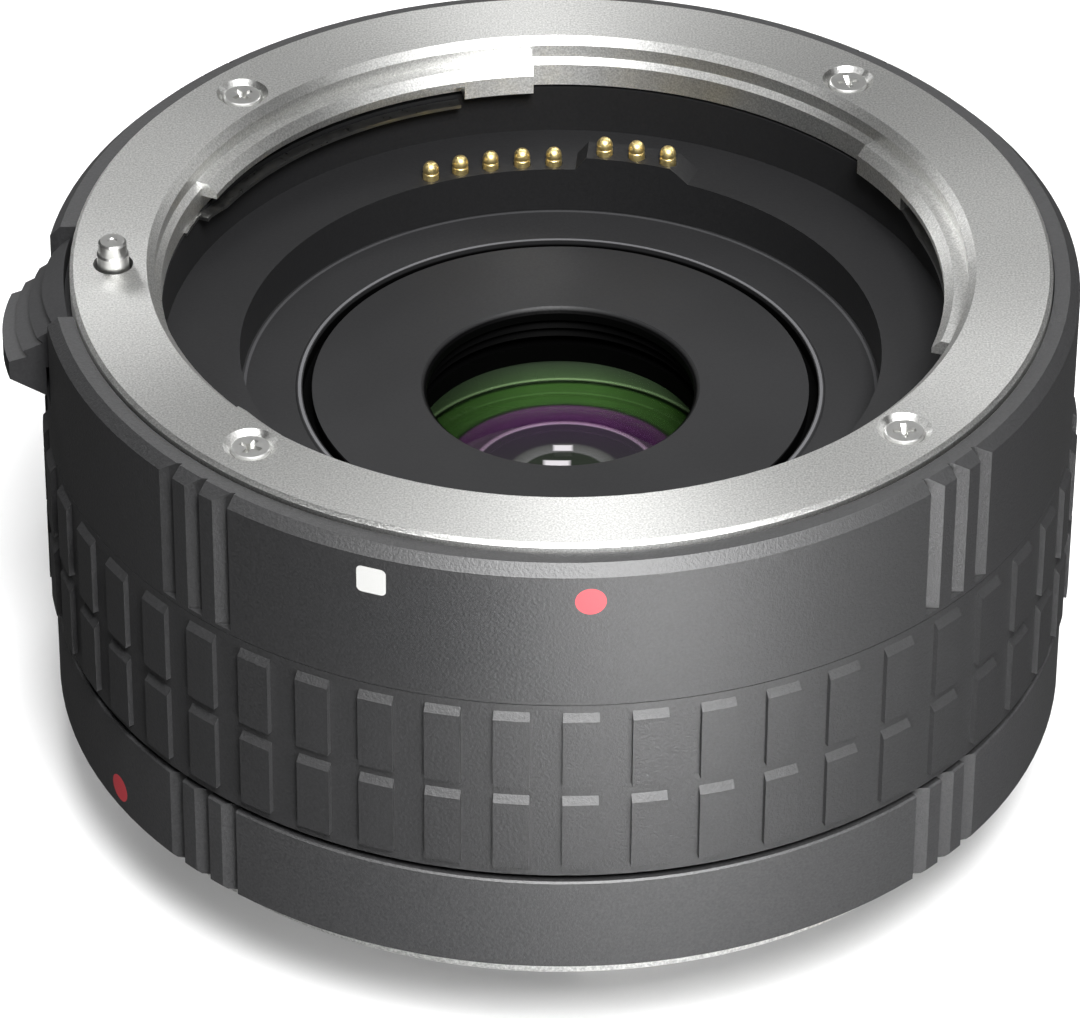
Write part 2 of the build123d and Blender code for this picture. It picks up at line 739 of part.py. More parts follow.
def make_release_lever():
    """Thumb lever: a crowned wedge with four ridges and a block that goes into the barrel."""
    outline = [(lever_crown_centre, lever_top_depth), (cover_bore + lever_step_clearance, lever_top_depth)]
    for out, depth in lever_ridges:
        reach = barrel_radius + out
        outline += [(reach, depth), (reach - lever_ridge_notch, depth + lever_ridge_notch_drop)]
    outline[-1] = (reach, lever_tip_depth)
    outline += [(barrel_radius + slide_clearance, lever_bottom_depth),
                (lever_crown_centre, lever_bottom_depth)]
    crown_axis = Axis((lever_crown_centre, 0, 0), (0, 0, 1))
    body = revolve(face_from(outline), crown_axis, 360) & lever_plan_prism()
    body -= post(lever_inner_reach, -overrun, lever_bottom_depth + overrun)
    body -= post(cover_bore + lever_step_clearance, -overrun, mount_plate + lever_step_clearance)
    body -= post(barrel_radius + lever_pad_gap, lever_body_bottom_depth, lever_bottom_depth + overrun)
    for side in (-1, 1):
        body -= radial_post(lever_screw_radius + thread_clearance, lever_inner_reach - overrun,
                            lever_inner_reach + lever_screw_bite, side)
    return lever_frame(body)


def radial_post(radius, reach_in, reach_out, side):
    """Cylinder along the lever's own outward direction, at one lever screw."""
    shape = Cylinder(radius, reach_out - reach_in, align=(Align.CENTER, Align.CENTER, Align.MIN))
    place = Pos(reach_in, side * lever_screw_offset, z_at(lever_screw_depth))
    return place * Rot(0, 90, 0) * shape


def make_lever_carrier():
    """Plate that the lever is screwed to, with a shelf that holds the lock pin."""
    reach_in = pocket_reach + carrier_inner_gap
    plate_in = lever_plate_reach()
    top = mount_plate + carrier_top_gap
    body = block(plate_in, plate_in + carrier_plate, carrier_width, top, carrier_bottom_depth)
    body += block(plate_in, plate_in + carrier_plate, carrier_ear_width, top + cover_flange,
                  carrier_bottom_depth)
    body += block(reach_in, plate_in + slide_clearance, carrier_shelf_width,
                  carrier_bottom_depth - carrier_shelf, carrier_bottom_depth)
    body += post(spring_boss_radius, carrier_bottom_depth - slide_clearance,
                 carrier_bottom_depth + spring_boss_height, spring_centre)
    body -= post(lock_pin_radius + thread_clearance, 0, carrier_bottom_depth + overrun + spring_boss_height,
                 lock_pin_circle)
    for side in (-1, 1):
        body -= radial_post(lever_screw_radius + thread_clearance, plate_in - overrun,
                            lever_inner_reach + overrun, side)
    return lever_frame(body)


def lever_plate_reach():
    """Inner reach of the carrier's upright plate, whose outer face meets the lever."""
    inner_corner = math.sqrt(lever_inner_reach ** 2 - lever_root_half_width ** 2)
    return inner_corner - slide_clearance - carrier_plate


def make_lever_screws():
    """Two screws from the inside that hold the lever to its carrier."""
    screws = []
    plate_in = lever_plate_reach()
    for side in (-1, 1):
        head = radial_post(lever_screw_head, plate_in - lever_screw_head_height, plate_in, side)
        shank_end = lever_inner_reach + lever_screw_bite - lever_screw_end_gap
        shank = radial_post(lever_screw_radius, plate_in, shank_end, side)
        screws.append(lever_frame(head + shank))
    return screws


def make_lock_pin():
    """Round pin that stands through the ring and locks the lens."""
    pin = post(lock_pin_radius, -lock_pin_reach, carrier_bottom_depth, lock_pin_circle, lever_angle)
    return chamfer(pin.edges().sort_by(Axis.Z)[-1], lock_pin_radius / 4)


def make_lever_spring():
    """Return spring of the lever, as the tube that its coils fill."""
    outer = post(lever_spring_outer, carrier_bottom_depth, pocket_bottom_depth, spring_centre, lever_angle)
    return outer - post(lever_spring_inner, 0, tube_end_depth, spring_centre, lever_angle)


def make_lens_cell():
    """Housing of the glass: flange that shows as the shelf, tube, and the stop between two bores."""
    groove_floor = shelf_depth + groove_depth
    stop_bottom = stop_top_depth + stop_thickness
    body = turned([(groove_outer_radius, shelf_depth - cell_lip_height),
                   (cell_lip_radius, shelf_depth - cell_lip_height),
                   (cell_lip_radius + cell_lip_height, shelf_depth), (cell_flange_radius, shelf_depth),
                   (cell_flange_radius, web_top_depth), (cell_tube_radius, web_top_depth),
                   (cell_tube_radius, cell_bottom_depth), (rear_stack_bore, cell_bottom_depth),
                   (rear_stack_bore, stop_bottom), (stop_radius, stop_bottom), (stop_radius, stop_top_depth),
                   (front_stack_bore, stop_top_depth), (front_stack_bore, disc_seat_depth),
                   (disc_bore, disc_seat_depth), (disc_bore, groove_floor),
                   (groove_outer_radius, groove_floor)])
    start, end = block_angles
    margin = math.degrees(slide_clearance / ledge_inner_radius)
    body -= ring(cell_flange_radius + overrun, ledge_inner_radius - slide_clearance,
                 shelf_depth - overrun, web_top_depth, start - margin, end - start + 2 * margin)
    for angle in cell_screw_angles:
        body -= post(cell_screw_radius + slide_clearance, shelf_depth - overrun, web_bottom_depth,
                     cell_screw_circle, angle)
    return body


def make_cell_screws():
    """Three screws that hold the cell's flange on the chassis web."""
    screws = []
    for angle in cell_screw_angles:
        head = post(cell_screw_head, shelf_depth - cell_screw_head_height, shelf_depth,
                    cell_screw_circle, angle)
        shank = post(cell_screw_radius, shelf_depth, web_bottom_depth, cell_screw_circle, angle)
        screws.append(head + shank)
    return screws


def make_front_baffle_disc():
    """Flat disc with the opening, whose bore is stepped to trap stray light."""
    bottom = disc_seat_depth - slide_clearance
    spigot = disc_bore - slide_clearance
    outline = [(opening_radius + opening_bevel, disc_top_depth), (disc_radius, disc_top_depth),
               (disc_radius, shelf_depth + groove_depth), (spigot, shelf_depth + groove_depth),
               (spigot, bottom), (opening_radius + trap_step + trap_count * trap_rise, bottom)]
    for n in reversed(range(trap_count)):
        depth = disc_top_depth + opening_bevel + (n + 1) * trap_pitch
        inner = opening_radius + n * trap_rise
        outline += [(inner + trap_step, depth), (inner, depth - trap_rise)]
    outline.append((opening_radius, disc_top_depth + opening_bevel))
    return turned(outline)


def make_front_retaining_ring():
    """Threaded rim that holds the front glass."""
    return ring(front_stack_bore - glass_clearance, rim_radius, rim_depth - rim_height, rim_depth)


def lens(radius, aperture, top, edge, sags):
    """Glass element: flat rim, a curved face on each side, and a cylindrical edge."""
    front, rear = sags
    bottom = top + edge
    outline = [Line((0, z_at(top - front)), (0, z_at(bottom + rear))),
               SagittaArc((0, z_at(bottom + rear)), (aperture, z_at(bottom)), face_bow(aperture, rear)),
               Line((aperture, z_at(bottom)), (radius, z_at(bottom))),
               Line((radius, z_at(bottom)), (radius, z_at(top))),
               Line((radius, z_at(top)), (aperture, z_at(top))),
               SagittaArc((aperture, z_at(top)), (0, z_at(top - front)), face_bow(aperture, front))]
    return revolve(Plane.XZ * make_face(outline), Axis.Z)


def face_bow(aperture, sag):
    """Bow of half a spherical face's outline beside its own chord, signed as SagittaArc wants it."""
    radius = (aperture ** 2 + sag ** 2) / (2 * abs(sag))
    chord = math.hypot(aperture, sag)
    return -math.copysign(radius - math.sqrt(radius ** 2 - (chord / 2) ** 2), sag)


def make_glass_stack():
    """Five elements, two spacers and the rear rim, stacked from both sides of the stop."""
    front = front_stack_bore - glass_clearance
    rear = rear_stack_bore - glass_clearance
    parts = {"lens_1": lens(front, glass_aperture_front, rim_depth, lens_1_edge, lens_1_sags)}
    spacer_top = rim_depth + lens_1_edge
    spacer_bottom = spacer_top + lens_spacer_front_height
    parts["lens_spacer_front"] = ring(front, spacer_inner_radius, spacer_top, spacer_bottom)
    parts["lens_2"] = lens(front, glass_aperture_middle, spacer_bottom, lens_2_edge, lens_2_sags)
    third = stop_top_depth + stop_thickness
    parts["lens_3"] = lens(rear, glass_aperture_middle, third, lens_3_edge, lens_3_sags)
    spacer_top = third + lens_3_edge
    fourth = spacer_top + lens_spacer_rear_height
    parts["lens_spacer_rear"] = ring(rear, rear_rim_radius, spacer_top, fourth)
    parts["lens_4"] = lens(rear, glass_aperture_rear, fourth, lens_4_edge, lens_4_sags)
    fifth = fourth + lens_4_edge
    parts["lens_5"] = lens(rear, glass_aperture_rear, fifth, lens_5_edge, lens_5_sags)
    rim_top = fifth + lens_5_edge
    parts["rear_retaining_ring"] = ring(rear, rear_rim_radius, rim_top, rim_top + rear_rim_height)
    return parts


def make_rear_mount():
    """Camera-side bayonet: flange, tube and three lugs."""
    body = turned([(tube_inner_radius, rear_flange_top_depth), (mount_radius, rear_flange_top_depth),
                   (mount_radius, flange_distance - mount_edge_chamfer),
                   (mount_radius - mount_edge_chamfer, flange_distance),
                   (tube_outer_radius, flange_distance), (tube_outer_radius, tube_end_depth - tube_chamfer),
                   (tube_outer_radius - tube_chamfer, tube_end_depth), (tube_inner_radius, tube_end_depth)])
    lug_top = flange_distance + lug_front
    for start, end in lug_angles:
        body += ring(lug_radius, tube_inner_radius + tube_chamfer, lug_top, lug_top + lug_thickness,
                     start, end - start)
    for angle in rear_screw_angles:
        body -= countersunk_hole(flange_distance, -1, angle)
    return body - post(lock_slot_radius, rear_flange_top_depth - overrun, flange_distance + overrun,
                       lock_pin_circle, lever_angle)


def make_rear_mount_screws():
    """Four screws that hold the camera-side bayonet to the chassis."""
    return [countersunk_screw(flange_distance, -1, angle) for angle in rear_screw_angles]


def make_rear_mount_shim():
    """Thin ring that sets the height of the rear mount."""
    body = ring(shim_outer_radius, shim_inner_radius, chassis_bottom_depth, rear_flange_top_depth)
    for angle in rear_screw_angles:
        body -= post(screw_shank_radius + slide_clearance, chassis_bottom_depth - overrun,
                     flange_distance, screw_circle, angle)
    return body


def make_rear_baffle():
    """Black cup inside the rear mount, open towards the glass and at the contact block."""
    wall_outer = tube_inner_radius - cup_clearance
    wall_inner = wall_outer - cup_wall
    floor_bottom = cell_bottom_depth + cup_floor
    rim = tube_end_depth - cup_rim_gap
    body = turned([(cup_opening, cell_bottom_depth), (cup_lip_radius, cell_bottom_depth),
                   (cup_lip_radius, rear_flange_top_depth), (wall_outer, rear_flange_top_depth),
                   (wall_outer, rim), (wall_inner, rim), (wall_inner, floor_bottom),
                   (cup_opening + cup_opening_flare, floor_bottom)])
    start, end = rear_block_angles
    margin = math.degrees(slide_clearance / rear_block_inner_radius)
    body -= ring(wall_outer + overrun, wall_inner - slide_clearance, floor_bottom, rim + overrun,
                 start - margin, end - start + 2 * margin)
    low, high = rear_boss_angles
    body -= ring(wall_inner - rear_boss_inset + boss_clearance,
                 rear_block_inner_radius + rear_boss_inset - boss_clearance,
                 cell_bottom_depth - overrun, floor_bottom + overrun, low - margin, high - low + 2 * margin)
    for angle in rear_block_screw_angles:
        body -= post(rear_block_screw_radius + thread_clearance, cell_bottom_depth - overrun,
                     floor_bottom + overrun, rear_block_screw_circle, angle)
    return body


def rear_pad_face(index):
    """Depth of the holder's face under one camera-side pad."""
    face = tube_end_depth - rear_block_end_gap
    return face - step_height if index >= contact_step_first else face


def make_rear_contact_block():
    """Holder of the camera-side pads, with the same step as the lens side."""
    outer = tube_inner_radius - rear_block_gap
    wall_inner = tube_inner_radius - cup_clearance - cup_wall
    floor_bottom = cell_bottom_depth + cup_floor
    start, end = rear_block_angles
    body = ring(outer, rear_block_inner_radius, floor_bottom, rear_pad_face(0), start, end - start)
    low, high = rear_boss_angles
    body += ring(wall_inner - rear_boss_inset, rear_block_inner_radius + rear_boss_inset, cell_bottom_depth,
                 floor_bottom + slide_clearance, low, high - low)
    foot_low, foot_high = step_foot_angles
    body -= ring(outer + overrun, rear_block_inner_radius - overrun, rear_pad_face(len(contact_angles)),
                 tube_end_depth, foot_low, foot_high - foot_low)
    for index, angle in enumerate(contact_angles):
        face = rear_pad_face(index)
        body -= post(pad_radius, face - pad_thickness + pad_proud, face + overrun, contact_circle, angle)
    for angle in rear_block_screw_angles:
        face = rear_pad_face(0)
        body -= post(rear_block_screw_radius + slide_clearance, floor_bottom - overrun, face,
                     rear_block_screw_circle, angle)
        body -= post(rear_block_screw_head + slide_clearance, face - rear_block_screw_head_height,
                     face + overrun, rear_block_screw_circle, angle)
    return body


def make_rear_contact_pads():
    """Eight gilt pads that meet the camera's own plungers."""
    pads = []
    for index, angle in enumerate(contact_angles):
        bottom = rear_pad_face(index) + pad_proud
        pads.append(post(pad_radius, bottom - pad_thickness, bottom, contact_circle, angle))
    return pads


def make_rear_contact_screws():
    """Two screws that hold the rear contact block to the cup's floor."""
    screws = []
    face = rear_pad_face(0)
    for angle in rear_block_screw_angles:
        head = post(rear_block_screw_head, face - rear_block_screw_head_height, face,
                    rear_block_screw_circle, angle)
        shank = post(rear_block_screw_radius, cell_bottom_depth + slide_clearance,
                     face - rear_block_screw_head_height, rear_block_screw_circle, angle)
        screws.append(head + shank)
    return screws


def make_flex_circuit():
    """Flexible leads from under the front block, down inside the chassis, to the rear block."""
    low, high = lead_angles
    start, end = block_angles
    inset = math.degrees(slide_clearance / contact_circle)
    body = ring(block_outer_radius, ledge_inner_radius + slide_clearance, block_bottom_depth,
                block_bottom_depth + lead_thickness, start + inset, end - start - 2 * inset)
    body += ring(lead_radius, block_outer_radius - slide_clearance, block_bottom_depth,
                 block_bottom_depth + lead_thickness, low, high - low)
    body += ring(lead_radius, lead_radius - lead_thickness, block_bottom_depth, cell_bottom_depth,
                 low, high - low)
    body += ring(lead_radius, rear_block_inner_radius + rear_boss_inset, cell_bottom_depth - lead_thickness,
                 cell_bottom_depth, low, high - low)
    for angle in block_screw_angles:
        body -= post(block_screw_radius + slide_clearance, ledge_depth, web_top_depth,
                     block_screw_circle, angle)
    return body


def make_data_chip():
    """Chip on the leads that passes the lens data on."""
    along, thick, high = chip_size
    middle = sum(lead_angles) / 2
    outer = (lead_radius - lead_thickness) * math.cos(math.asin(along / 2 / (lead_radius - lead_thickness)))
    chip = block(outer - thick, outer, along, chip_depth - high / 2, chip_depth + high / 2)
    return Rot(0, 0, middle) * chip


def build_parts():
    """Every node by name."""
    parts = {"front_mount_ring": make_front_mount_ring(), "front_mount_screws": make_front_mount_screws()}
    parts.update(make_leaf_springs())
    parts["front_barrel"] = make_front_barrel()
    parts["grip_ring"] = make_grip_ring()
    parts["rear_barrel"] = make_rear_barrel()
    parts["index_square"] = make_index_square()
    parts["index_dot_front"] = make_index_dot_front()
    parts["index_dot_rear"] = make_index_dot_rear()
    parts["release_lever"] = make_release_lever()
    parts["lever_carrier"] = make_lever_carrier()
    parts["lever_screws"] = make_lever_screws()
    parts["lock_pin"] = make_lock_pin()
    parts["lever_spring"] = make_lever_spring()
    parts["chassis"] = make_chassis()
    parts["chamber_ring"] = make_chamber_ring()
    parts["contact_block"] = make_contact_block()
    parts.update(make_contacts())
    parts["contact_block_screws"] = make_contact_block_screws()
    parts["flex_circuit"] = make_flex_circuit()
    parts["data_chip"] = make_data_chip()
    parts["lens_cell"] = make_lens_cell()
    parts["cell_screws"] = make_cell_screws()
    parts["front_baffle_disc"] = make_front_baffle_disc()
    parts["front_retaining_ring"] = make_front_retaining_ring()
    parts.update(make_glass_stack())
    parts["rear_mount"] = make_rear_mount()
    parts["rear_mount_screws"] = make_rear_mount_screws()
    parts["rear_mount_shim"] = make_rear_mount_shim()
    parts["rear_baffle"] = make_rear_baffle()
    parts["rear_contact_block"] = make_rear_contact_block()
    parts["rear_contact_pads"] = make_rear_contact_pads()
    parts["rear_contact_screws"] = make_rear_contact_screws()
    return parts


def write_parts():
    """One STEP file per node."""
    os.makedirs("parts", exist_ok=True)
    for name, shape in build_parts().items():
        solids = shape if isinstance(shape, list) else shape.solids()
        export_step(Compound(children=list(solids)) if len(solids) > 1 else solids[0], f"parts/{name}.step")


write_parts()
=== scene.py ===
import math

import bmesh
import bpy
from mathutils import Matrix, Vector


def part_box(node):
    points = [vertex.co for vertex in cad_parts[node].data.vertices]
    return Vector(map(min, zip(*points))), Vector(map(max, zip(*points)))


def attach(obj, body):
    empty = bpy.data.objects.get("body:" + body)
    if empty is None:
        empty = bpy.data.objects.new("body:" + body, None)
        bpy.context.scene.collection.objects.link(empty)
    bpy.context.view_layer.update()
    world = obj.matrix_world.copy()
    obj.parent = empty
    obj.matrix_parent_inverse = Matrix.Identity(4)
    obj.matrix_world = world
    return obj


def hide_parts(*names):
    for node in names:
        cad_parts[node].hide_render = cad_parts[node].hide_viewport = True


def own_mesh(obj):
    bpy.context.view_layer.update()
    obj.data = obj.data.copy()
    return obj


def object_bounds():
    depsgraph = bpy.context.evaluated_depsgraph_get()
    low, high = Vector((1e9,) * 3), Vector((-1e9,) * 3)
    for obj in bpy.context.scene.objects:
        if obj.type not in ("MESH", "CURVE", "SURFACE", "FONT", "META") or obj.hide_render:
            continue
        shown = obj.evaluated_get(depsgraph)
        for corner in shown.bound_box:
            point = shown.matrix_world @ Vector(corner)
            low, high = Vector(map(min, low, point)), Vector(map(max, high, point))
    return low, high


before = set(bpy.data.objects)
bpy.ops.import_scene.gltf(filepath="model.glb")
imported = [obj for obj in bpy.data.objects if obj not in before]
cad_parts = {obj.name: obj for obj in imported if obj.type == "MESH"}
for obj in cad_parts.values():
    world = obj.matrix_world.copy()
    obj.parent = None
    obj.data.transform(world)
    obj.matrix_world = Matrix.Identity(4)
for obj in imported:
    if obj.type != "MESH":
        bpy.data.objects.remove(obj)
cad_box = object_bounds()

# The camera stands in front of the converter with a long lens, about 36 degrees above it.
# Its place in mm, tilt, roll and focal length were worked out from the rings' ellipses.
MM = 0.001
CAMERA_PLACE = (-1.301, -359.169, 274.103)
CAMERA_ELEVATION = 35.94
CAMERA_ROLL = 0.341
FOCAL_LENGTH = 220.94
SENSOR_WIDTH = 36
NEAREST_SEEN = 20

scene = bpy.context.scene
elevation = math.radians(CAMERA_ELEVATION)
roll = math.radians(CAMERA_ROLL)
camera_back = Vector((0, -math.cos(elevation), math.sin(elevation)))
level_right = Vector((1, 0, 0))
level_up = camera_back.cross(level_right)
camera_right = level_right * math.cos(roll) + level_up * math.sin(roll)
camera_up = level_up * math.cos(roll) - level_right * math.sin(roll)
camera_data = bpy.data.cameras.new("product_camera")
camera_data.sensor_width = SENSOR_WIDTH
camera_data.lens = FOCAL_LENGTH
camera_data.clip_start = NEAREST_SEEN * MM
camera = bpy.data.objects.new("product_camera", camera_data)
scene.collection.objects.link(camera)
camera.matrix_world = (Matrix.Translation(Vector(CAMERA_PLACE) * MM)
                       @ Matrix((camera_right, camera_up, camera_back)).transposed().to_4x4())
scene.camera = camera
scene.view_settings.view_transform = "Standard"

# The studio lamps are white soft boxes on stands, all hidden from the camera.
# Places and sizes are in metres. Each one is there for what it draws on the satin ring or the paint.
CONVERTER_MIDDLE = (0, 0, 0.02)


def soft_box(name, place, aim, width, height, watts):
    """Rectangular soft box that faces a point."""
    lamp_data = bpy.data.lights.new(name, "AREA")
    lamp_data.shape = "RECTANGLE"
    lamp_data.size = width
    lamp_data.size_y = height
    lamp_data.energy = watts
    lamp = bpy.data.objects.new(name, lamp_data)
    scene.collection.objects.link(lamp)
    away = Vector(place) - Vector(aim)
    turned = away.to_track_quat("Z", "Y").to_matrix().to_4x4()
    lamp.matrix_world = Matrix.Translation(place) @ turned


# The key lights the chamfers, the bevels of the pads and the front of the paper.
soft_box("front_key", (0.09, -0.42, 0.587), CONVERTER_MIDDLE, width=0.24, height=0.24, watts=9.6)
# Two strips close to the table light the upright walls of the covers, more in the middle than aside.
soft_box("low_front_strip", (0.024, -0.096, -0.003), (0, 0, 0.006), width=0.07, height=0.03,
         watts=0.12)
soft_box("low_right_strip", (0.115, -0.085, 0.0), (0, 0, 0.008), width=0.04, height=0.03, watts=0.03)
# These are mirrored by the front and the back of the ring.
soft_box("near_top_panel", (-0.001, -0.005, 0.17), CONVERTER_MIDDLE, width=0.24, height=0.05, watts=0.1)
soft_box("overhead_box", (0, 0.16, 0.60), CONVERTER_MIDDLE, width=0.26, height=0.34, watts=0.3)
soft_box("rear_panel", (0.0, 0.19, 0.19), CONVERTER_MIDDLE, width=0.24, height=0.12, watts=0.03)
# These are mirrored by its left and its right.
soft_box("rear_left_box", (-0.30, 0.46, 0.345), CONVERTER_MIDDLE, width=0.14, height=0.16, watts=0.75)
soft_box("rear_right_box", (0.284, 0.391, 0.435), CONVERTER_MIDDLE, width=0.18, height=0.18, watts=0.62)

# The studio round the table is white where the camera or the glass looks at it.
# It is dim for everything else, and metal mirrors a grey sheet that hangs behind the converter.
WHITE = "FFFFFF"
SHEET_EDGE, SHEET_MIDDLE = 0.1, 0.7
SHEET_LEAST = 0.06


def linear(code):
    """Linear RGBA of an sRGB hex colour."""
    shares = [int(code[n:n + 2], 16) / 255 for n in (0, 2, 4)]
    return [s / 12.92 if s <= 0.04045 else ((s + 0.055) / 1.055) ** 2.4 for s in shares] + [1.0]


def add(tree, kind, sockets=None, **settings):
    """One shader node with its settings, and its sockets set or linked."""
    made = tree.nodes.new(kind)
    for name, value in settings.items():
        setattr(made, name, value)
    for name, value in (sockets or {}).items():
        if isinstance(value, bpy.types.NodeSocket):
            tree.links.new(value, made.inputs[name])
        else:
            made.inputs[name].default_value = value
    return made


def seen_directly(tree, ray):
    """1 for what the camera sees itself or through glass."""
    seen = add(tree, "ShaderNodeMath", {0: ray.outputs["Is Camera Ray"],
                                        1: ray.outputs["Is Transmission Ray"]}, operation="MAXIMUM")
    return seen.outputs[0]


world = bpy.data.worlds.new("white_studio")
scene.world = world
world.use_nodes = True
studio = world.node_tree
studio.nodes.clear()
ray = add(studio, "ShaderNodeLightPath")
direction = add(studio, "ShaderNodeTexCoord")
backwards = add(studio, "ShaderNodeSeparateXYZ", {0: direction.outputs["Generated"]})
sheet = add(studio, "ShaderNodeMapRange", {
    "Value": backwards.outputs["Y"], "From Min": SHEET_EDGE, "From Max": SHEET_MIDDLE,
    "To Min": SHEET_LEAST, "To Max": 1.0}, interpolation_type="SMOOTHSTEP")
dim_room = add(studio, "ShaderNodeBackground", {"Color": linear("2C2C2D")})
grey_sheet = add(studio, "ShaderNodeBackground", {"Color": linear("4A4A4A"),
                                                  "Strength": sheet.outputs["Result"]})
white_wall = add(studio, "ShaderNodeBackground", {"Color": linear(WHITE)})
unseen_room = add(studio, "ShaderNodeMixShader", {
    0: ray.outputs["Is Glossy Ray"], 1: dim_room.outputs[0], 2: grey_sheet.outputs[0]})
room = add(studio, "ShaderNodeMixShader", {
    0: seen_directly(studio, ray), 1: unseen_room.outputs[0], 2: white_wall.outputs[0]})
add(studio, "ShaderNodeOutputWorld", {"Surface": room.outputs[0]})

# The table is a sheet of white paper, and the converter stands on it on its camera-side tube.
# It is painted a little darker close to the foot, a painted shadow where the paper sees less of the lamps.
PAPER_HALF_WIDTH = 3000
FOOT_SHADE_REACH = 14
FOOT_SHADE_SHARE = 0.6
PAPER_GLOW = 0.2
PAPER_WHITE = "F0F0F0"


def new_material(name):
    """Empty node material with its tree and Object coordinates."""
    material = bpy.data.materials.new(name)
    material.use_nodes = True
    tree = material.node_tree
    tree.nodes.clear()
    return material, tree, add(tree, "ShaderNodeTexCoord").outputs["Object"]


# White paper is plain and matt. Only direct looks see it white, so that it throws little light up.
paper_white, tree, place = new_material("white_paper_sweep")
paper_seen = seen_directly(tree, add(tree, "ShaderNodeLightPath"))
near_foot = add(tree, "ShaderNodeAmbientOcclusion", {"Color": linear(PAPER_WHITE),
                                                     "Distance": FOOT_SHADE_REACH * MM})
soft_foot = add(tree, "ShaderNodeMix", {"Factor": FOOT_SHADE_SHARE, "A": linear(PAPER_WHITE),
                                        "B": near_foot.outputs["Color"]}, data_type="RGBA")
lit_paper = add(tree, "ShaderNodeBsdfDiffuse", {"Color": soft_foot.outputs["Result"]})
glow = add(tree, "ShaderNodeEmission", {"Color": linear(WHITE), "Strength": PAPER_GLOW})
seen_paper = add(tree, "ShaderNodeAddShader", {0: lit_paper.outputs[0], 1: glow.outputs[0]})
unseen_paper = add(tree, "ShaderNodeBsdfDiffuse", {"Color": linear("3A3A3A")})
paper = add(tree, "ShaderNodeMixShader", {0: paper_seen, 1: unseen_paper.outputs[0],
                                          2: seen_paper.outputs[0]})
add(tree, "ShaderNodeOutputMaterial", {"Surface": paper.outputs[0]})

sweep_bm = bmesh.new()
bmesh.ops.create_grid(sweep_bm, x_segments=1, y_segments=1, size=PAPER_HALF_WIDTH * MM,
                      matrix=Matrix.Translation((0, 0, cad_box[0].z)))
sweep_mesh = bpy.data.meshes.new("paper_sweep")
sweep_bm.to_mesh(sweep_mesh)
sweep_bm.free()
sweep_mesh.materials.append(paper_white)
sweep = bpy.data.objects.new("paper_sweep", sweep_mesh)
scene.collection.objects.link(sweep)

# The chassis is the turned aluminium tube that carries every other piece.
# It is anodised black, and shows only as the dark line between the grip and the lower cover.
# The blast leaves marks finer than a tenth of a millimetre, drawn here as coarse as they need to show.
METRE = 1000
ABOVE_IT_ALL = 100.0
CLOUD_IN_GRAINS = 60
CLOUD_LOW, CLOUD_HIGH = 0.35, 0.65
NOISE_LOW, NOISE_HIGH = 0.3, 0.7
ROUGHNESS_SPREAD = 0.05
ANODISED_GLOSS = 0.25
# Painted shade fades in over this height in mm, down to this share of the colour and gloss.
DARK_FADE = 0.15
DARK_SHARE = 0.08
HIGHLIGHT_HALF_WIDTH = 0.1


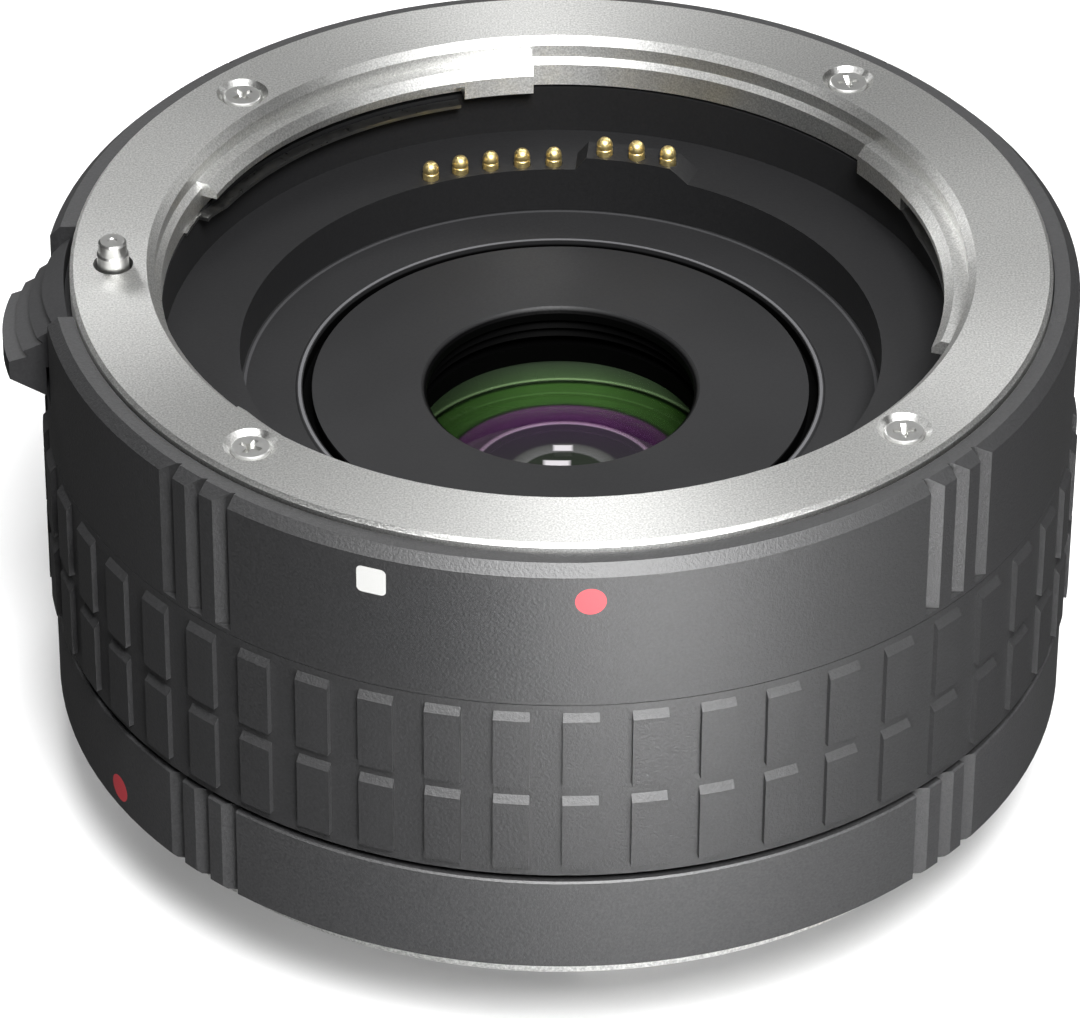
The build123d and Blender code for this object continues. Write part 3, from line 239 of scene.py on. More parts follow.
def black_anodised(name, shade, grain_mm, roughness, painted_shade_below, painted_edge_highlights=()):
    """Blasted and anodised aluminium, with painted shade below a height in mm and a painted highlight at
    radii with a gain each.
    """
    material, tree, place = new_material(name)
    grain = add(tree, "ShaderNodeTexNoise", {"Vector": place, "Scale": METRE / grain_mm, "Detail": 2.0})
    cloud = add(tree, "ShaderNodeTexNoise", {"Vector": place, "Scale": METRE / (grain_mm * CLOUD_IN_GRAINS)})
    tint = add(tree, "ShaderNodeMapRange", {"Value": cloud.outputs["Fac"], "From Min": CLOUD_LOW,
                                            "From Max": CLOUD_HIGH, "To Min": 0.92, "To Max": 1.08})
    height = add(tree, "ShaderNodeSeparateXYZ", {0: place})
    # Painted shade: darker and less glossy below the given height.
    unshaded_share = add(tree, "ShaderNodeMapRange", {
        "Value": height.outputs["Z"], "From Min": (painted_shade_below - DARK_FADE) * MM,
        "From Max": painted_shade_below * MM, "To Min": DARK_SHARE})
    brightness = add(tree, "ShaderNodeMath", {0: tint.outputs[0], 1: unshaded_share.outputs[0]},
                     operation="MULTIPLY").outputs[0]
    level_place = add(tree, "ShaderNodeVectorMath", {0: place, 1: (1.0, 1.0, 0.0)}, operation="MULTIPLY")
    radius = add(tree, "ShaderNodeVectorMath", {0: level_place.outputs[0]}, operation="LENGTH")
    # Painted highlight: brighter on thin rings at the given radii.
    for highlight_radius, gain in painted_edge_highlights:
        on_highlight = add(tree, "ShaderNodeMath", {0: radius.outputs["Value"], 1: highlight_radius * MM,
                                               2: HIGHLIGHT_HALF_WIDTH * MM}, operation="COMPARE")
        gained = add(tree, "ShaderNodeMapRange", {"Value": on_highlight.outputs[0], "To Min": 1.0,
                                                  "To Max": gain})
        brightness = add(tree, "ShaderNodeMath", {0: brightness, 1: gained.outputs[0]},
                         operation="MULTIPLY").outputs[0]
    colour = add(tree, "ShaderNodeVectorMath", {0: linear(shade)[:3], 3: brightness}, operation="SCALE")
    worn = add(tree, "ShaderNodeMapRange", {
        "Value": grain.outputs["Fac"], "From Min": NOISE_LOW, "From Max": NOISE_HIGH,
        "To Min": roughness - ROUGHNESS_SPREAD, "To Max": roughness + ROUGHNESS_SPREAD})
    gloss = add(tree, "ShaderNodeMath", {0: unshaded_share.outputs[0], 1: ANODISED_GLOSS},
                operation="MULTIPLY")
    bump = add(tree, "ShaderNodeBump", {"Height": grain.outputs["Fac"], "Strength": 0.12,
                                        "Distance": 0.02 * MM})
    surface = add(tree, "ShaderNodeBsdfPrincipled", {
        "Base Color": colour.outputs[0], "Roughness": worn.outputs[0],
        "Specular IOR Level": gloss.outputs[0], "Normal": bump.outputs[0]})
    add(tree, "ShaderNodeOutputMaterial", {"Surface": surface.outputs[0]})
    return material


def finish_nodes(material, *names):
    """Gives CAD nodes their finish."""
    for name in names:
        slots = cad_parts[name].data.materials
        slots.clear()
        slots.append(material)


# Anodising over a fine blast, darkened all over as painted shade, since it lies in the shade of its
# neighbours: near to no light comes back from it.
anodised_black = black_anodised("black_anodised_aluminium", "161617", grain_mm=0.18, roughness=0.55,
                                painted_shade_below=ABOVE_IT_ALL)
finish_nodes(anodised_black, "chassis")

# The lens cell is the turned black housing that hangs in the chassis and holds all the glass.
# Its flange is the shelf round the disc, and the turned edges beside the disc's groove are sharp, with a
# painted highlight on each.
# Each painted highlight is a radius in mm, and how much brighter than the flat it is painted.
SHELF_GROOVE_TOP = 23.75
GROOVE_LIP_HIGHLIGHT = (17.22, 7.0)
SHELF_RIM_HIGHLIGHT = (20.85, 3.0)
# A matt black with a faint grain, painted black down in the groove as painted shade, with a painted
# highlight as a thin grey line on its two edges.
cell_black = black_anodised("matt_black_anodised_cell", "202021", grain_mm=0.2, roughness=0.6,
                            painted_shade_below=SHELF_GROOVE_TOP, painted_edge_highlights=(GROOVE_LIP_HIGHLIGHT, SHELF_RIM_HIGHLIGHT))
finish_nodes(cell_black, "lens_cell")

# Five polished glass elements stand in the cell between turned rings, two of them in front of the stop.
# They are vacuum-coated, the front ones green and the rear ones purple.
# A painted reflection zone is a radius and a colour, and a painted glint is the middle of a pane and its
# half sides, all in mm.
GLASS_CLOUD = 9.0
ZONE_SPAN = 13.0
ZONE_CENTRE = (0.3, -2.6, 0.0)
# The glass's own colour is painted dark as painted shade, darkest inside this radius in mm.
PAINTED_DARK_UNTIL, PAINTED_DARK_FADED_AT = 5.98, 6.37
FADE_FROM, FADE_TO = 2.0, 8.5
PAINTED_GLINTS = ((0.2, 0.76, 0.65, 0.33), (-0.2, -1.04, 0.9, 0.38))
PAINTED_REFLECTION_ZONES = ((0.0, "1A1A1B"), (2.85, "1C1B1C"), (2.98, "6A686B"), (3.7, "545154"),
               (3.95, "2A1730"), (5.9, "301438"), (6.02, "A98FAA"), (6.15, "9A7A98"),
               (6.3, "3C1A40"), (7.75, "5E3C60"), (7.95, "232A20"), (8.2, "3A5A2C"),
               (9.95, "3A5F28"), (10.12, "0F1A0C"), (10.3, "142010"), (10.44, "8FB07C"),
               (10.6, "4A6240"), (11.9, "3C4A38"), (12.3, "0C0C0C"))


def coated_glass(name, reflection):
    """Polished optical glass whose coating tints what it mirrors."""
    material, tree, place = new_material(name)
    cloud = add(tree, "ShaderNodeTexNoise", {"Vector": place, "Scale": METRE / GLASS_CLOUD})
    film = add(tree, "ShaderNodeMapRange", {"Value": cloud.outputs["Fac"], "To Min": 0.004,
                                            "To Max": 0.012})
    surface = add(tree, "ShaderNodeBsdfPrincipled", {
        "Base Color": linear("F2F7F4"), "Roughness": film.outputs[0], "IOR": 1.62,
        "Transmission Weight": 1.0, "Specular IOR Level": 0.12, "Specular Tint": linear(reflection)})
    output = add(tree, "ShaderNodeOutputMaterial", {"Surface": surface.outputs[0]})
    return material, tree, place, surface, output


def painted_reflection_rings(tree, radius):
    """Painted reflection: colour of the mirrored rings at a distance from their middle."""
    share = add(tree, "ShaderNodeMath", {0: radius, 1: ZONE_SPAN * MM}, operation="DIVIDE")
    bands = add(tree, "ShaderNodeValToRGB", {"Fac": share.outputs[0]})
    stops = bands.color_ramp.elements
    stops.remove(stops[1])
    stops[0].color = linear(PAINTED_REFLECTION_ZONES[0][1])
    for zone_radius, shade in PAINTED_REFLECTION_ZONES[1:]:
        stops.new(zone_radius / ZONE_SPAN).color = linear(shade)
    return bands.outputs["Color"]


def add_painted_glint(tree, place, colour, glint):
    """Lays a painted glint, the mirrored pane of a soft box, from its middle and half sides in mm, over a
    colour.
    """
    middle_x, middle_y, half_width, half_height = glint
    offset = add(tree, "ShaderNodeVectorMath", {0: place, 1: (middle_x * MM, middle_y * MM, 0)},
                 operation="SUBTRACT")
    scaled = add(tree, "ShaderNodeVectorMath", {
        0: offset.outputs[0], 1: (METRE / half_width, METRE / half_height, 0)}, operation="MULTIPLY")
    unsigned = add(tree, "ShaderNodeVectorMath", {0: scaled.outputs[0]}, operation="ABSOLUTE")
    reach = add(tree, "ShaderNodeSeparateXYZ", {0: unsigned.outputs[0]})
    edge = add(tree, "ShaderNodeMath", {0: reach.outputs["X"], 1: reach.outputs["Y"]},
               operation="MAXIMUM")
    inside = add(tree, "ShaderNodeMapRange", {"Value": edge.outputs[0], "From Min": 0.8,
                                              "From Max": 1.1, "To Min": 1.0, "To Max": 0.0})
    over = add(tree, "ShaderNodeMix", {"Factor": inside.outputs[0], "A": colour, "B": linear("A8A4A8")},
               data_type="RGBA")
    return over.outputs["Result"]


# Hard coated glass, with painted reflections laid over it as a matt colour: rings of green, purple and grey,
# which fade to the sides, and two white panes near the middle.
# The rings are what its stack mirrors, drawn off the axis as they are seen from the front.
front_glass, tree, place, surface, output = coated_glass("green_coated_front_glass_painted_reflection", "7FC060")
off_centre = add(tree, "ShaderNodeVectorMath", {0: place, 1: Vector(ZONE_CENTRE) * MM},
                 operation="SUBTRACT")
level_offset = add(tree, "ShaderNodeVectorMath", {0: off_centre.outputs[0], 1: (1.0, 1.0, 0.0)},
                   operation="MULTIPLY")
radius = add(tree, "ShaderNodeVectorMath", {0: level_offset.outputs[0]}, operation="LENGTH")
# Painted shade: the glass is dimmed all over, and most inside the middle rings.
clear = add(tree, "ShaderNodeMapRange", {"Value": radius.outputs["Value"], "From Min": PAINTED_DARK_UNTIL * MM,
                                         "From Max": PAINTED_DARK_FADED_AT * MM, "To Min": 0.03, "To Max": 0.42})
tint = add(tree, "ShaderNodeVectorMath", {0: (1.0, 1.0, 1.0), 3: clear.outputs[0]}, operation="SCALE")
tree.links.new(tint.outputs[0], surface.inputs["Base Color"])
across = add(tree, "ShaderNodeSeparateXYZ", {0: off_centre.outputs[0]})
side = add(tree, "ShaderNodeMath", {0: across.outputs["X"]}, operation="ABSOLUTE")
fade = add(tree, "ShaderNodeMapRange", {"Value": side.outputs[0], "From Min": FADE_FROM * MM,
                                        "From Max": FADE_TO * MM, "To Min": 0.42, "To Max": 0.12})
faded = add(tree, "ShaderNodeVectorMath", {0: painted_reflection_rings(tree, radius.outputs["Value"]),
                                           3: fade.outputs[0]}, operation="SCALE")
painted_reflection = faded.outputs[0]
for glint in PAINTED_GLINTS:
    painted_reflection = add_painted_glint(tree, place, painted_reflection, glint)
# The painted reflection is added to the glass as a matt colour.
sheen = add(tree, "ShaderNodeBsdfDiffuse", {"Color": painted_reflection})
with_painted_reflection = add(tree, "ShaderNodeAddShader", {0: surface.outputs[0], 1: sheen.outputs[0]})
tree.links.new(with_painted_reflection.outputs[0], output.inputs["Surface"])
finish_nodes(front_glass, "lens_1")

# The same glass behind it, clear with a green mirror image.
finish_nodes(coated_glass("green_coated_glass", "7FC060")[0], "lens_2")
# Glass behind the stop, clear with a purple mirror image.
finish_nodes(coated_glass("purple_coated_glass", "A050C8")[0], "lens_3", "lens_4", "lens_5")
# Black aluminium between the elements, darkened all over as painted shade, so that it looks like a hole.
painted_shade_black = black_anodised("painted_shade_black_ring", "161617", grain_mm=0.16, roughness=0.7,
                               painted_shade_below=ABOVE_IT_ALL)
finish_nodes(painted_shade_black, "lens_spacer_front", "lens_spacer_rear", "front_retaining_ring")
# Painted shade darkens it all over, as it does the chassis.
finish_nodes(anodised_black, "rear_retaining_ring")

# The front disc is a thin aluminium plate screwed into the cell, which masks stray light.
# It is turned, anodised and bored out in fine steps, which are painted dark as painted shade.
DISC_BORE_TOP = 23.82
# A smoother black than the shelf's, with a soft sheen across it, and painted black inside the bore as
# painted shade.
disc_black = black_anodised("satin_black_anodised_disc", "212122", grain_mm=0.16, roughness=0.5,
                            painted_shade_below=DISC_BORE_TOP)
finish_nodes(disc_black, "front_baffle_disc")

# The chamber ring is the moulded ledge under the bayonet tabs, dropped in from the front.
# The contact block fills its window. Both are glass-filled plastic, as are the pieces in the rear tube.


def moulded_plastic(name, shade, grain_mm, roughness):
    """Spark-eroded moulding in black, glass-filled plastic."""
    material, tree, place = new_material(name)
    grain = add(tree, "ShaderNodeTexNoise", {"Vector": place, "Scale": METRE / grain_mm,
                                             "Detail": 3.0, "Roughness": 0.6})
    speck = add(tree, "ShaderNodeMapRange", {"Value": grain.outputs["Fac"], "From Min": NOISE_LOW,
                                             "From Max": NOISE_HIGH, "To Min": 0.85, "To Max": 1.15})
    colour = add(tree, "ShaderNodeVectorMath", {0: linear(shade)[:3], 3: speck.outputs[0]},
                 operation="SCALE")
    bump = add(tree, "ShaderNodeBump", {"Height": grain.outputs["Fac"], "Strength": 0.25,
                                        "Distance": 0.03 * MM})
    surface = add(tree, "ShaderNodeBsdfPrincipled", {
        "Base Color": colour.outputs[0], "Roughness": roughness, "Specular IOR Level": 0.3,
        "Normal": bump.outputs[0]})
    add(tree, "ShaderNodeOutputMaterial", {"Surface": surface.outputs[0]})
    return material


# Spark-eroded polycarbonate: a matt, even black with a fine grain and soft edges of light.
chamber_plastic = moulded_plastic("moulded_black_polycarbonate", "1B1B1C", grain_mm=0.22, roughness=0.55)
finish_nodes(chamber_plastic, "chamber_ring", "contact_block", "rear_baffle", "rear_contact_block")

# The contacts are turned brass plungers with round heads and a groove, gold-plated.
# Each one slides in a hole of the contact block, held by a shoulder, and the last three stand higher.
# Tool marks are finer in life, and are drawn as coarse as they need to show.
PLUNGER_COUNT = 8
STEM_RADIUS = 0.55
SHOULDER_RADIUS = 0.65
SHOULDER_HEIGHT = 0.6
TAIL_RADIUS = 0.32
SHOULDER_TO_FOOT = 1.8
TURNED_STEPS = 28
SAME_POINT = 0.0001
SHARP_EDGE = 32
METAL_WEAR = 0.2
PLUNGER_HEAD = [(0, 0), (0.2, 0.02), (0.36, 0.1), (0.47, 0.24), (0.53, 0.42), (STEM_RADIUS, 0.58),
                (0.53, 0.64), (0.49, 0.68), (0.49, 0.74), (0.53, 0.78), (STEM_RADIUS, 0.84)]


def plated_metal(name, shade, roughness, mark_mm):
    """Turned and plated metal with fine marks from the tool."""
    material, tree, place = new_material(name)
    mark = add(tree, "ShaderNodeTexNoise", {"Vector": place, "Scale": METRE / mark_mm, "Detail": 2.0})
    worn = add(tree, "ShaderNodeMapRange", {
        "Value": mark.outputs["Fac"], "From Min": NOISE_LOW, "From Max": NOISE_HIGH,
        "To Min": roughness * (1 - METAL_WEAR), "To Max": roughness * (1 + METAL_WEAR)})
    bump = add(tree, "ShaderNodeBump", {"Height": mark.outputs["Fac"], "Strength": 0.05,
                                        "Distance": 0.004 * MM})
    surface = add(tree, "ShaderNodeBsdfPrincipled", {
        "Base Color": linear(shade), "Metallic": 1.0, "Roughness": worn.outputs[0],
        "Normal": bump.outputs[0]})
    add(tree, "ShaderNodeOutputMaterial", {"Surface": surface.outputs[0]})
    return material


def upright_ends(cad_node):
    """Middle of the foot and middle of the top of an upright CAD node, in metres."""
    low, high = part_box(cad_node)
    middle_x, middle_y = (low.x + high.x) / 2, (low.y + high.y) / 2
    return Vector((middle_x, middle_y, low.z)), Vector((middle_x, middle_y, high.z))


def turned_piece(name, profile, metal, cad_node, body):
    """Stands a piece turned from radii and drops in mm where a CAD node stands, top on top."""
    bm = bmesh.new()
    verts = [bm.verts.new((radius, 0, -drop)) for radius, drop in profile]
    edges = [bm.edges.new(verts[n:n + 2]) for n in range(len(verts) - 1)]
    bmesh.ops.spin(bm, geom=verts + edges, cent=(0, 0, 0), axis=(0, 0, 1), angle=2 * math.pi,
                   steps=TURNED_STEPS, use_merge=True)
    bmesh.ops.remove_doubles(bm, verts=bm.verts, dist=SAME_POINT)
    bmesh.ops.recalc_face_normals(bm, faces=bm.faces)
    top = upright_ends(cad_node)[1]
    bmesh.ops.transform(bm, matrix=Matrix.Translation(top) @ Matrix.Scale(MM, 4), verts=bm.verts)
    mesh = bpy.data.meshes.new(name)
    bm.to_mesh(mesh)
    bm.free()
    mesh.shade_smooth()
    mesh.set_sharp_from_angle(angle=math.radians(SHARP_EDGE))
    mesh.materials.append(metal)
    piece = bpy.data.objects.new(name, mesh)
    scene.collection.objects.link(piece)
    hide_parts(cad_node)
    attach(piece, body)


# Gold over brass: warm and bright, with a small soft highlight on each round head.
gold_plate = plated_metal("gold_plated_brass", "FCE4A0", roughness=0.42, mark_mm=0.2)
finish_nodes(gold_plate, "rear_contact_pads")
for number in range(1, PLUNGER_COUNT + 1):
    foot, top = upright_ends(f"contact_pin_{number}")
    length = (top.z - foot.z) / MM
    shoulder = length - SHOULDER_TO_FOOT
    plunger_tail = [(STEM_RADIUS, shoulder), (SHOULDER_RADIUS, shoulder),
                    (SHOULDER_RADIUS, shoulder + SHOULDER_HEIGHT),
                    (TAIL_RADIUS, shoulder + SHOULDER_HEIGHT), (TAIL_RADIUS, length), (0, length)]
    turned_piece(f"gilt_plunger_{number}", PLUNGER_HEAD + plunger_tail, gold_plate,
                 f"contact_pin_{number}", f"contact_pin_{number}")

# A coil spring of round steel wire stands under each plunger and under the lever's carrier.
# Each is wound on a mandrel.
STEPS_PER_TURN = 18
WIRE_SIDES = 8
# Drawn and rolled steel: a mid grey metal with clear highlights.
spring_steel = plated_metal("rolled_spring_steel", "B8B8B6", roughness=0.28, mark_mm=0.3)
finish_nodes(spring_steel, "rear_mount_shim")


def coil_spring(name, coil_radius, wire_radius, turns, cad_node):
    """Compression spring that fills the height of a CAD node."""
    foot, top = upright_ends(cad_node)
    height = (top.z - foot.z) / MM
    steps = turns * STEPS_PER_TURN
    climb = (height - 2 * wire_radius) / steps
    bm = bmesh.new()
    section = Matrix.Translation((coil_radius, 0, wire_radius)) @ Matrix.Rotation(math.pi / 2, 4, "X")
    ring = bmesh.ops.create_circle(bm, segments=WIRE_SIDES, radius=wire_radius, matrix=section)["verts"]
    edges = list(dict.fromkeys(edge for vert in ring for edge in vert.link_edges))
    last = bmesh.ops.spin(bm, geom=ring + edges, cent=(0, 0, 0), axis=(0, 0, 1), dvec=(0, 0, climb),
                          angle=2 * math.pi * turns, steps=steps)["geom_last"]
    bmesh.ops.edgeloop_fill(bm, edges=edges)
    bmesh.ops.edgeloop_fill(bm, edges=[g for g in last if isinstance(g, bmesh.types.BMEdge)])
    bmesh.ops.recalc_face_normals(bm, faces=bm.faces)
    bmesh.ops.transform(bm, matrix=Matrix.Translation(foot) @ Matrix.Scale(MM, 4), verts=bm.verts)
    mesh = bpy.data.meshes.new(name)
    bm.to_mesh(mesh)
    bm.free()
    mesh.shade_smooth()
    mesh.materials.append(spring_steel)
    coil = bpy.data.objects.new(name, mesh)
    scene.collection.objects.link(coil)
    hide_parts(cad_node)
    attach(coil, "barrel_assembly")
    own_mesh(coil)


for number in range(1, PLUNGER_COUNT + 1):
    coil_spring(f"plunger_coil_spring_{number}", coil_radius=0.52, wire_radius=0.1, turns=8,
                cad_node=f"contact_spring_{number}")
coil_spring("lever_coil_spring", coil_radius=1.175, wire_radius=0.175, turns=9,
            cad_node="lever_spring")

# The leads are copper tracks laminated between two films, and run from the front contacts to the rear.
# They are folded round the lens cell, and carry one small chip in a moulded case.
CLOUD_SIZE = 1.5
# Polyimide: an amber plastic film with a soft gloss, a little uneven in its depth of colour.
polyimide, tree, place = new_material("amber_polyimide_film")
cloud = add(tree, "ShaderNodeTexNoise", {"Vector": place, "Scale": METRE / CLOUD_SIZE})
amber = add(tree, "ShaderNodeMix", {"Factor": cloud.outputs["Fac"], "A": linear("A8641C"),
                                    "B": linear("8C4E12")}, data_type="RGBA")
film = add(tree, "ShaderNodeBsdfPrincipled", {"Base Color": amber.outputs["Result"], "Roughness": 0.35})
add(tree, "ShaderNodeOutputMaterial", {"Surface": film.outputs[0]})
finish_nodes(polyimide, "flex_circuit")
# Moulded epoxy: a flat, dusty black.
epoxy = moulded_plastic("black_epoxy", "141414", grain_mm=0.1, roughness=0.6)
finish_nodes(epoxy, "data_chip")

# The leaf springs lie under the bayonet tabs and draw the lens's lugs against the ring.
# They are stamped from spring steel strip, and held in pockets of the tabs.
# Rolled strip: darker and a little smoother than the nickel round it.
leaf_steel = plated_metal("stamped_leaf_spring_steel", "8F8F8E", roughness=0.34, mark_mm=0.4)
finish_nodes(leaf_steel, "leaf_spring_left", "leaf_spring_right", "leaf_spring_front")

# The two covers and the grip band are turned and milled aluminium tubes that slide over the chassis.
# They are sprayed black with a paint that dries to a fine texture.
PAINT_GRAIN = 0.2


def textured_paint(name, shade):
    """Black texture paint on metal."""
    material, tree, place = new_material(name)
    grain = add(tree, "ShaderNodeTexNoise", {"Vector": place, "Scale": METRE / PAINT_GRAIN,
                                             "Detail": 3.0, "Roughness": 0.65})
    speck = add(tree, "ShaderNodeMapRange", {"Value": grain.outputs["Fac"], "From Min": NOISE_LOW,
                                             "From Max": NOISE_HIGH, "To Min": 0.6, "To Max": 1.4})
    colour = add(tree, "ShaderNodeVectorMath", {0: linear(shade)[:3], 3: speck.outputs[0]},
                 operation="SCALE")
    bump = add(tree, "ShaderNodeBump", {"Height": grain.outputs["Fac"], "Strength": 0.8,
                                        "Distance": 0.04 * MM})
    surface = add(tree, "ShaderNodeBsdfPrincipled", {
        "Base Color": colour.outputs[0], "Roughness": 0.5, "Specular IOR Level": 1.0,
        "Normal": bump.outputs[0]})
    add(tree, "ShaderNodeOutputMaterial", {"Surface": surface.outputs[0]})
    return material


# Texture paint: a grained black that turns grey where a wall faces a lamp, and pale on the bevels.
finish_nodes(textured_paint("black_texture_paint", "262627"), "front_barrel", "grip_ring")
# The same paint, a shade lighter.
finish_nodes(textured_paint("black_texture_paint_lower_cover", "333334"), "rear_barrel")

# The alignment marks are drops of enamel in shallow recesses milled in the covers.
# They dry level with the paint around them.
FLOW_MARK = 0.6


def enamel(name, shade):
    """Filled enamel paint with a soft gloss and faint flow marks."""
    material, tree, place = new_material(name)
    flow = add(tree, "ShaderNodeTexNoise", {"Vector": place, "Scale": METRE / FLOW_MARK})
    bump = add(tree, "ShaderNodeBump", {"Height": flow.outputs["Fac"], "Strength": 0.1,
                                        "Distance": 0.02 * MM})
    surface = add(tree, "ShaderNodeBsdfPrincipled", {"Base Color": linear(shade), "Roughness": 0.35,
                                                     "Normal": bump.outputs[0]})
    add(tree, "ShaderNodeOutputMaterial", {"Surface": surface.outputs[0]})
    return material


# White enamel: the palest patch on the barrel, smooth beside the grained paint.
finish_nodes(enamel("white_enamel", "CCCCCA"), "index_square")
# Red enamel: a clear, slightly pink red where the light falls on it.
finish_nodes(enamel("red_enamel", "D84A52"), "index_dot_front", "index_dot_rear")

# The thumb lever is moulded plastic, screwed to a pressed steel carrier inside the chassis.
# The carrier holds the turned lock pin, and the coil spring under it pushes all of them up.
LOCK_PIN_RADIUS = 1.05
# Moulded plastic: a dark grey, lighter than the paint, with soft highlights on its ridges.
lever_plastic = moulded_plastic("lever_black_plastic", "303031", grain_mm=0.22, roughness=0.5)
finish_nodes(lever_plastic, "release_lever")
# Nickel over steel: a pale, slightly soft metal with bright edges.
screw_steel = plated_metal("nickel_plated_screw_steel", "C9C9C7", roughness=0.36, mark_mm=0.2)
finish_nodes(screw_steel, "lever_carrier", "lever_screws", "cell_screws", "contact_block_screws",
             "rear_contact_screws")
# Ground steel: as pale as the ring it stands in, with a dimple and a step that catch light.
pin_steel = plated_metal("ground_lock_pin_steel", "BDBDBB", roughness=0.38, mark_mm=0.25)
foot, top = upright_ends("lock_pin")
length = (top.z - foot.z) / MM
pin_profile = [(0, 0.09), (0.24, 0.08), (0.32, 0.0), (0.8, 0.0), (0.92, 0.13), (0.94, 0.86),
               (LOCK_PIN_RADIUS, 0.98), (LOCK_PIN_RADIUS, length), (0, length)]
turned_piece("stepped_lock_pin", pin_profile, pin_steel, "lock_pin", "release_lever")

# The mount screws are countersunk, of nickel-plated steel, with a cross recess and a rounded edge.
# Four hold each bayonet ring to the chassis, and their heads lie a little below its face.
# Each step down a head is a radius factor and a drop in mm.
SCREW_CIRCLE = 29.0
SCREW_ANGLES = (48, 138, 228, 318)
REAR_SCREW_TURN = 20
FRONT_DRIVEN_TO = (12, 40, 64, 4)
REAR_DRIVEN_TO = (0, 25, 50, 75)
HEAD_RADIUS = 1.16
HEAD_SIDES = 40
ROUNDED_EDGE = (1.07, 0.05)
HEAD_WALL = (1.05, 0.2)
COUNTERSINK = (0.66, 0.45)
SHANK = (0.98, 4.4)
CROSS_REACH = 0.74
CROSS_HALF = 0.17
CROSS_DEPTH = 0.5
CROSS_TAPER = 0.45
cross_outline = []
for quarter in range(4):
    quarter_turn = Matrix.Rotation(quarter * math.pi / 2, 4, "Z")
    cross_outline += [quarter_turn @ Vector(corner) for corner in (
        (CROSS_REACH, -CROSS_HALF, 0), (CROSS_REACH, CROSS_HALF, 0), (CROSS_HALF, CROSS_HALF, 0))]


def pulled_loop(bm, edges, radius_factor, drop):
    """Extrudes a loop of edges downwards, scaled about the screw's own axis."""
    made = bmesh.ops.extrude_edge_only(bm, edges=edges)["geom"]
    verts = [g for g in made if isinstance(g, bmesh.types.BMVert)]
    bmesh.ops.scale(bm, vec=(radius_factor, radius_factor, 1), verts=verts)
    bmesh.ops.translate(bm, vec=(0, 0, -drop), verts=verts)
    return [g for g in made if isinstance(g, bmesh.types.BMEdge)]


def cross_screw(driven_to):
    """One screw with its head at the origin, its cross turned by an angle."""
    bm = bmesh.new()
    rim = bmesh.ops.create_circle(bm, segments=HEAD_SIDES, radius=HEAD_RADIUS)["verts"]
    rim_edges = list(dict.fromkeys(edge for vert in rim for edge in vert.link_edges))
    driven = Matrix.Rotation(math.radians(driven_to), 4, "Z")
    cross = [bm.verts.new(driven @ corner) for corner in cross_outline]
    cross_edges = [bm.edges.new((cross[n - 1], cross[n])) for n in range(len(cross))]
    bmesh.ops.triangle_fill(bm, use_beauty=True, edges=rim_edges + cross_edges)
    floor = pulled_loop(bm, cross_edges, CROSS_TAPER, CROSS_DEPTH)
    bmesh.ops.edgeloop_fill(bm, edges=floor)
    loop = rim_edges
    for radius_factor, drop in (ROUNDED_EDGE, HEAD_WALL, COUNTERSINK, SHANK):
        loop = pulled_loop(bm, loop, radius_factor, drop)
    bmesh.ops.edgeloop_fill(bm, edges=loop)
    bmesh.ops.recalc_face_normals(bm, faces=bm.faces)
    return bm


def mount_screws(name, angles, driven_to, head_height, over, cad_node):
    """Four screws on the screw circle, turned over for the mount that faces down."""
    whole = bmesh.new()
    for angle, driven in zip(angles, driven_to):
        bm = cross_screw(driven)
        outwards = Matrix.Rotation(math.radians(angle), 3, "Z") @ Vector((SCREW_CIRCLE, 0, 0))
        stand = Matrix.Translation(outwards * MM + Vector((0, 0, head_height)))
        bmesh.ops.transform(bm, matrix=stand @ Matrix.Scale(MM, 4) @ Matrix.Rotation(over, 4, "X"),
                            verts=bm.verts)
        blank = bpy.data.meshes.new("screw_blank")
        bm.to_mesh(blank)
        bm.free()
        whole.from_mesh(blank)
        bpy.data.meshes.remove(blank)
    mesh = bpy.data.meshes.new(name)
    whole.to_mesh(mesh)
    whole.free()
    mesh.materials.append(screw_steel)
    screws = bpy.data.objects.new(name, mesh)
    scene.collection.objects.link(screws)
    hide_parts(cad_node)
    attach(screws, "barrel_assembly")


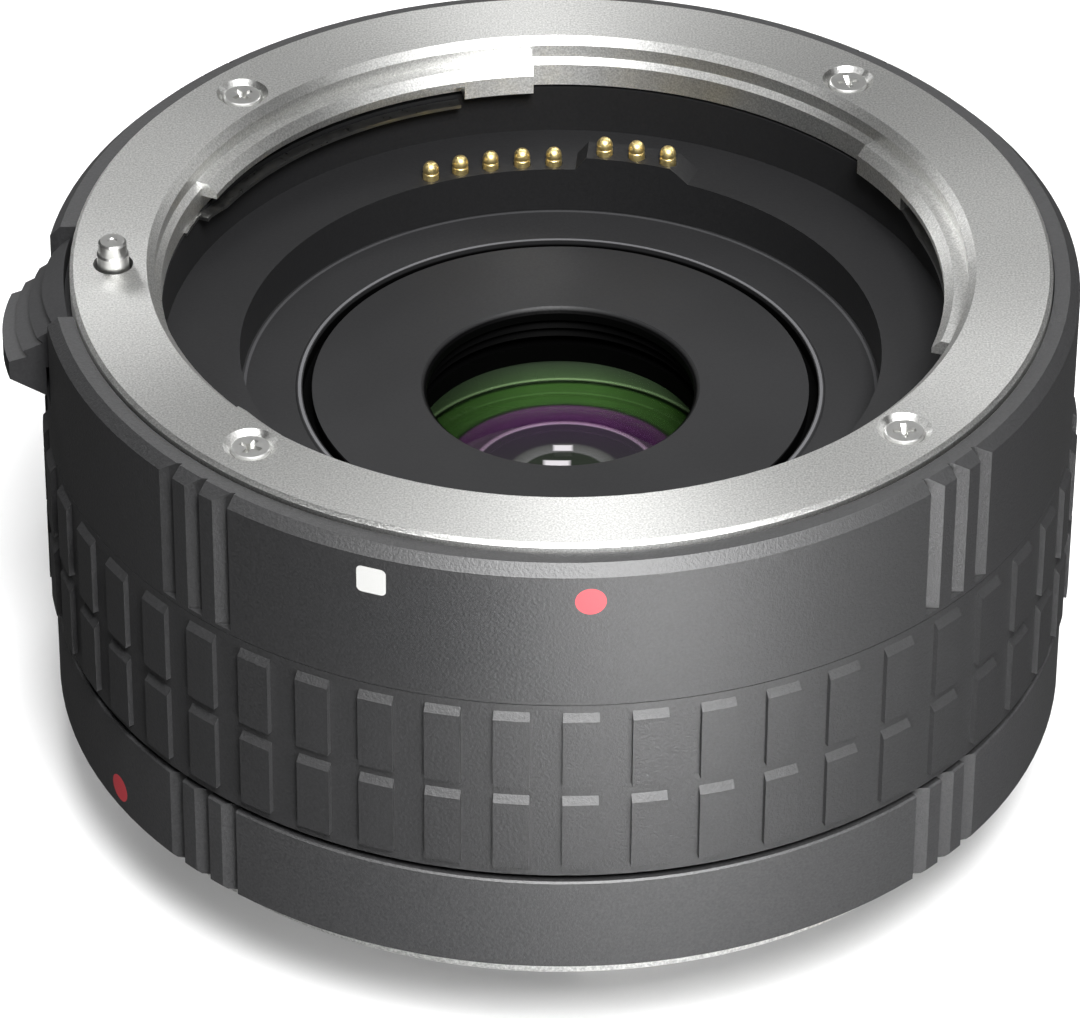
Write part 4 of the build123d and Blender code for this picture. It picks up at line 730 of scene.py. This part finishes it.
mount_screws("front_cross_screws", SCREW_ANGLES, FRONT_DRIVEN_TO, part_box("front_mount_screws")[1].z, 0,
             "front_mount_screws")
mount_screws("rear_cross_screws", [angle + REAR_SCREW_TURN for angle in SCREW_ANGLES], REAR_DRIVEN_TO,
             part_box("rear_mount_screws")[0].z, math.pi, "rear_mount_screws")

# The two bayonet rings are brass, plated with nickel: turned first, then blasted with fine beads.
# The lens-side ring closes the stack from above and the camera-side one from below, by four screws each.
# Bead marks are finer in life, and are drawn as coarse as they need to show.


def blasted_nickel(name, shade, bead_mm, roughness, spread, metallic):
    """Nickel over a turned and bead-blasted face, which spreads light along the radius."""
    material, tree, place = new_material(name)
    bead = add(tree, "ShaderNodeTexNoise", {"Vector": place, "Scale": METRE / bead_mm, "Detail": 2.0,
                                            "Roughness": 0.6})
    speck = add(tree, "ShaderNodeMapRange", {"Value": bead.outputs["Fac"], "From Min": NOISE_LOW,
                                             "From Max": NOISE_HIGH, "To Min": 0.72, "To Max": 1.2})
    colour = add(tree, "ShaderNodeVectorMath", {0: linear(shade)[:3], 3: speck.outputs[0]},
                 operation="SCALE")
    bump = add(tree, "ShaderNodeBump", {"Height": bead.outputs["Fac"], "Strength": 0.4,
                                        "Distance": 0.02 * MM})
    surface = add(tree, "ShaderNodeBsdfPrincipled", {
        "Base Color": colour.outputs[0], "Metallic": metallic, "Roughness": roughness,
        "Anisotropic": spread, "Tangent": place, "Normal": bump.outputs[0]})
    add(tree, "ShaderNodeOutputMaterial", {"Surface": surface.outputs[0]})
    return material


# Satin nickel: a pale silver with a fine sparkle, in broad light and darker sectors round the ring.
satin_nickel = blasted_nickel("satin_nickel_plated_brass", "D8D8D6", bead_mm=0.13, roughness=0.42,
                              spread=0.75, metallic=1.0)
finish_nodes(satin_nickel, "front_mount_ring")
# Matt nickel: a duller, whiter silver that shows as the pale line under the barrel.
matt_nickel = blasted_nickel("matt_nickel_rear_bayonet", "E6E6E4", bead_mm=0.2, roughness=0.5,
                             spread=0.3, metallic=0.6)
finish_nodes(matt_nickel, "rear_mount")
